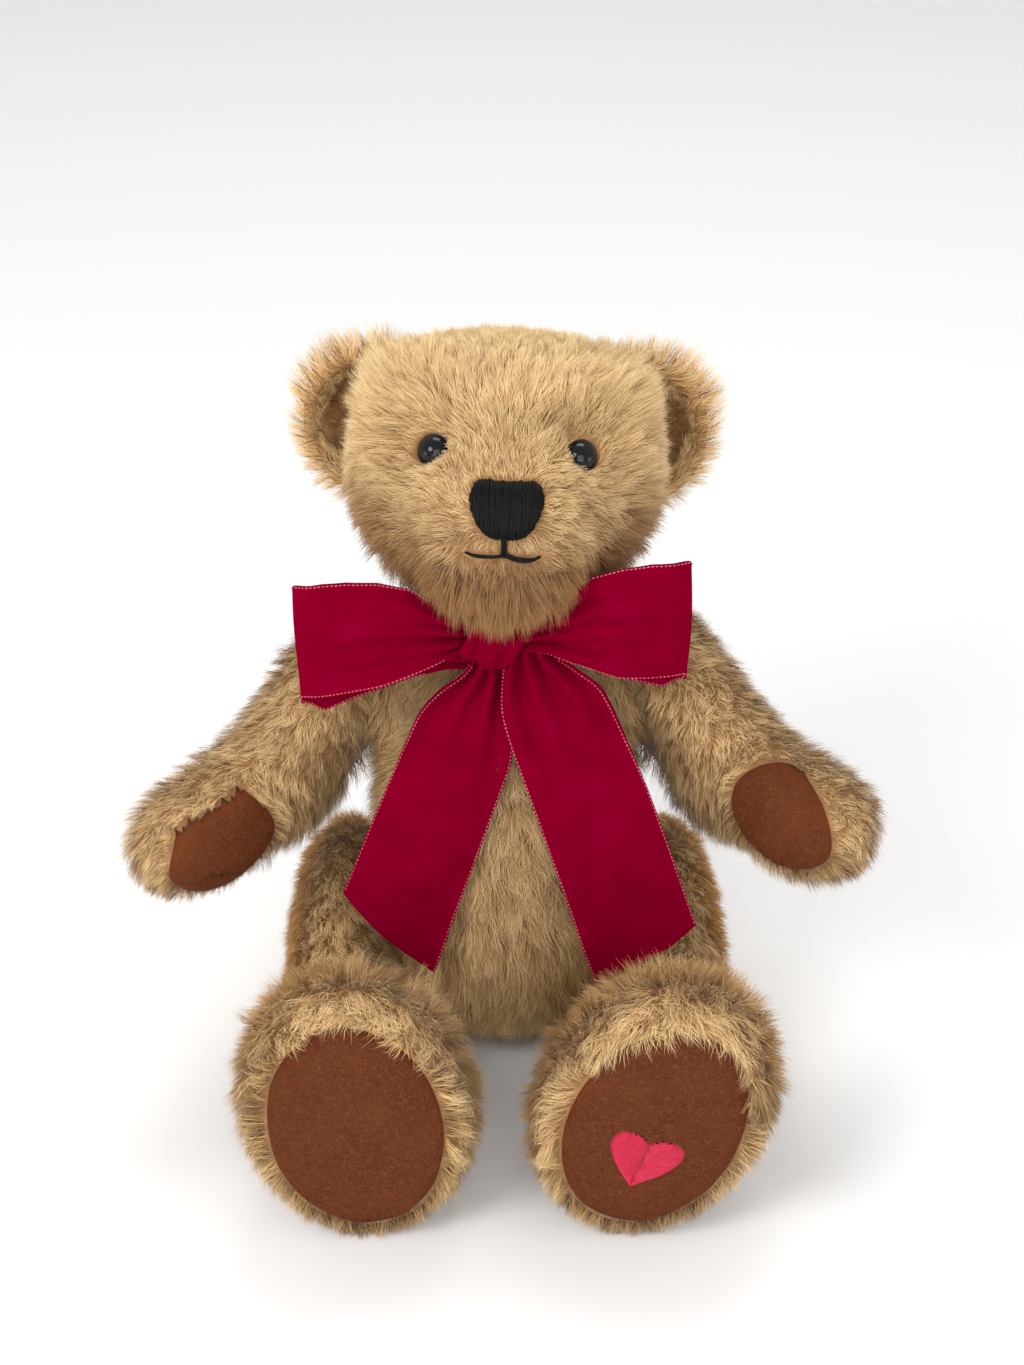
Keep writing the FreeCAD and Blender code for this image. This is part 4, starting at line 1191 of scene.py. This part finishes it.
def bow_loop(name, node, out_x, top, bottom, knot_x, back_drop, seed):
    """A loop: the front layer runs out from the knot, folds over at its end and comes back behind.

    out_x, top and bottom are the outline of the front layer, and the back layer hangs back_drop lower.
    """
    along, across = 90, 44
    surface = np.zeros((2 * along, across, 3))
    v = np.linspace(0, 1, across)
    ripple = np.random.default_rng(seed)
    fold_phase = ripple.random(3) * 6.28
    order = np.argsort(out_x)
    outline_x, top, bottom = (np.array(values)[order] for values in (out_x, top, bottom))
    for i in range(2 * along):
        s = i / (2 * along - 1)
        front = s < 0.5
        share = 2 * s if front else 2 * (1 - s)
        share = 1 - (1 - share) ** 1.15
        turn_in = smooth(0.86, 1.0, share)
        x = knot_x + (out_x[-1] - knot_x) * share
        high = np.interp(x, outline_x, top)
        low = np.interp(x, outline_x, bottom)
        puff = 7.0 * math.sin(math.pi * min(share, 0.98) ** 0.9) ** 0.8 + 1.0
        middle_y = -25.5 - 4.5 * share
        end_round = math.sqrt(max(0.0, 1 - turn_in ** 2))
        y = middle_y + (-1 if front else 1) * puff * end_round * 0.9
        drop = 0 if front else back_drop * (1 - 0.75 * turn_in)
        z = low + (high - low) * v - drop
        gather = 1 - smooth(0.15, 0.95, share)
        lines = np.sin(v * math.pi * 7 + fold_phase[0]) * 1.5 * gather ** 0.7
        waves = np.sin(v * math.pi * 3 + fold_phase[1] + share * 2.0) * 1.5
        lines += waves * math.sin(math.pi * min(1, share * 1.1))
        bulge = np.sin(v * math.pi) * 2.0 * share
        surface[i, :, 0] = x + (np.sin(v * 4 + fold_phase[2]) * 0.5 * share) * np.sign(out_x[-1])
        surface[i, :, 1] = y + lines * (1 if front else 0.6) - (bulge if front else -bulge * 0.5)
        surface[i, :, 2] = z
    made = ribbon_sheet(name, node, surface)
    edge = edge_stitches(name + "_edge", surface, 12, 2 * along - 20)


def bow_tail(name, node, left_edge, right_edge, layer, length, seed):
    """A tail: gathered under the knot, then lying over the belly, cut at a slant.

    left_edge and right_edge are its edges as (x, z) points seen from the front.
    """
    along, across = 110, 46
    left_edge, right_edge = np.array(left_edge, float), np.array(right_edge, float)
    s = np.linspace(0, 1, along)

    def spread(edge):
        """Evenly spaced points along an edge, with its corners rounded."""
        step = np.concatenate([[0], np.cumsum(np.linalg.norm(np.diff(edge, axis=0), axis=1))])
        line = np.stack([np.interp(s, step / step[-1], edge[:, k]) for k in range(2)], 1)
        kernel = np.exp(-np.linspace(-2, 2, 21) ** 2)
        kernel /= kernel.sum()
        padded = np.concatenate([line[:1] * 2 - line[10:0:-1], line, line[-1:] * 2 - line[-2:-12:-1]])
        return np.stack([np.convolve(padded[:, k], kernel, "valid") for k in range(2)], 1)

    a, b = spread(left_edge), spread(right_edge)
    v = np.linspace(0, 1, across)
    flat = a[:, None] * (1 - v)[None, :, None] + b[:, None] * v[None, :, None]
    gather = (1 - smooth(0.03, 0.55, s))[:, None]
    phase = np.random.default_rng(seed).random(3) * 6.28
    depth = np.sin(v * math.pi * 6 + phase[0])[None] * 2.2 * gather ** 0.8
    depth = depth + np.sin(v * math.pi * 2 + phase[1] + s[:, None] * 4) * 0.9 * smooth(0.1, 0.5, s)[:, None]
    depth = depth - 2.2 * np.sin(v * math.pi)[None] * smooth(0.1, 0.6, s)[:, None]
    y = belly(flat[..., 1], 7.5 + layer) + depth
    y = y - 2.5 * smooth(0.12, 0.0, s)[:, None]
    surface = np.stack([flat[..., 0], y, flat[..., 1]], -1)
    made = ribbon_sheet(name, node, surface)
    edge = edge_stitches(name + "_edge", surface, 6, along)
    flat = (RIBBON_WIDTH * MM, length * MM)


bow_loop(
    "bow_loop_right", "ribbon_right_loop",
    [-10.0, -18.0, -28.0, -37.0, -46.0, -53.0, -61.5],
    [158.0, 164.5, 172.0, 174.6, 175.0, 174.4, 172.4],
    [150.5, 149.0, 145.8, 142.5, 139.8, 137.4, 134.8], -10.0, 9.0, 21,
)
bow_loop(
    "bow_loop_left", "ribbon_left_loop",
    [2.0, 13.0, 25.0, 34.0, 42.5, 50.0, 54.0],
    [157.0, 167.0, 177.0, 180.0, 181.2, 181.0, 180.6],
    [150.5, 151.6, 148.4, 145.0, 144.0, 143.4, 142.9], 2.0, 7.5, 33,
)
bow_tail(
    "bow_tail_right", "ribbon_right_tail",
    [(-8.2, 148), (-12, 140), (-19.4, 135.5), (-26.1, 128.1), (-35.1, 106.8), (-42.9, 89.1), (-49.8, 72.7)],
    [(-1.6, 148), (1.0, 138.0), (1.4, 128.1), (2.3, 113.8), (-6.2, 90.6), (-15.5, 65.7), (-22.2, 45.6)],
    0.4, 104.0, 5,
)
bow_tail(
    "bow_tail_left", "ribbon_left_tail",
    [(1.0, 151), (-0.6, 140.0), (-1.3, 129.3), (2.3, 117.5), (6.3, 106.8), (16.7, 78.5), (28.4, 42.9)],
    [(12.0, 150), (20.0, 143.0), (28.7, 137.4), (33.7, 127.2), (43.0, 106.8), (50.9, 86.1), (58.3, 64.7)],
    3.4, 100.0, 6,
)


def bow_knot():
    """The ribbon wrapped once round the middle of the bow, in soft upright folds."""
    around, across = 60, 48
    a = np.linspace(0, 2 * math.pi, around, endpoint=False)
    v = np.linspace(-1, 1, across)
    middle = np.array([-4.6, -29.0, 152.8])
    surface = np.zeros((around, across, 3))
    for i, angle in enumerate(a):
        front = max(0.0, math.cos(angle))
        folds = 1.1 * np.sin(v * math.pi * 1.9 + 0.9 + 1.3 * math.sin(angle)) * (0.5 + 0.5 * front)
        pinch = 1 - 0.22 * np.exp(-((v - 0.15) / 0.3) ** 2) * front
        height = (7.4 + folds) * pinch * (1 - 0.16 * v ** 2)
        depth = (4.6 + folds) * (1 - 0.25 * v ** 2)
        surface[i, :, 0] = middle[0] + v * (7.6 + 0.6 * math.sin(angle))
        surface[i, :, 1] = middle[1] - depth * math.cos(angle)
        surface[i, :, 2] = middle[2] + height * math.sin(angle)
    surface = (surface - middle) @ turn("y", 28.0).T + middle
    closed = np.concatenate([surface, surface[:1]])
    made = ribbon_sheet("bow_knot", "ribbon_knot", closed)


def neck_ribbon():
    """The band round the neck, gathered into soft lengthwise folds."""
    around, across = 150, 60
    a = np.linspace(0, 2 * math.pi, around, endpoint=False)
    v = np.linspace(-1, 1, across)
    side = np.array([1.0, 0, 0])
    back = np.cross(NECK_AXIS, side)
    middle = NECK - NECK_AXIS * 5.0
    surface = np.zeros((around, across, 3))
    for i, angle in enumerate(a):
        folds = 1.7 * np.sin(v * math.pi * 3.5 + 1.2 * math.sin(angle * 2) + 0.6 * math.sin(angle * 5))
        radius = 22.0 + folds
        radial = side * math.cos(angle) + back * math.sin(angle)
        surface[i] = middle + radial * radius[:, None] + NECK_AXIS * (v * 6.0)[:, None]
    closed = np.concatenate([surface, surface[:1]])
    made = ribbon_sheet("neck_ribbon", "ribbon_neckband", closed)


bow_knot()
neck_ribbon()


# The pile

fur("body_pile", torso, torso_rule, seed=11)
fur("head_pile", head, head_rule, share=1.15, seed=12)
for name, side in SIDES.items():
    fur(f"{name}_ear_pile", ears[name], ear_rule(side), share=1.1, seed=13)
    fur(f"{name}_arm_pile", arms[name], arm_rule(name), seed=14)
    fur(f"{name}_leg_pile", legs[name], leg_rule(name), seed=15)
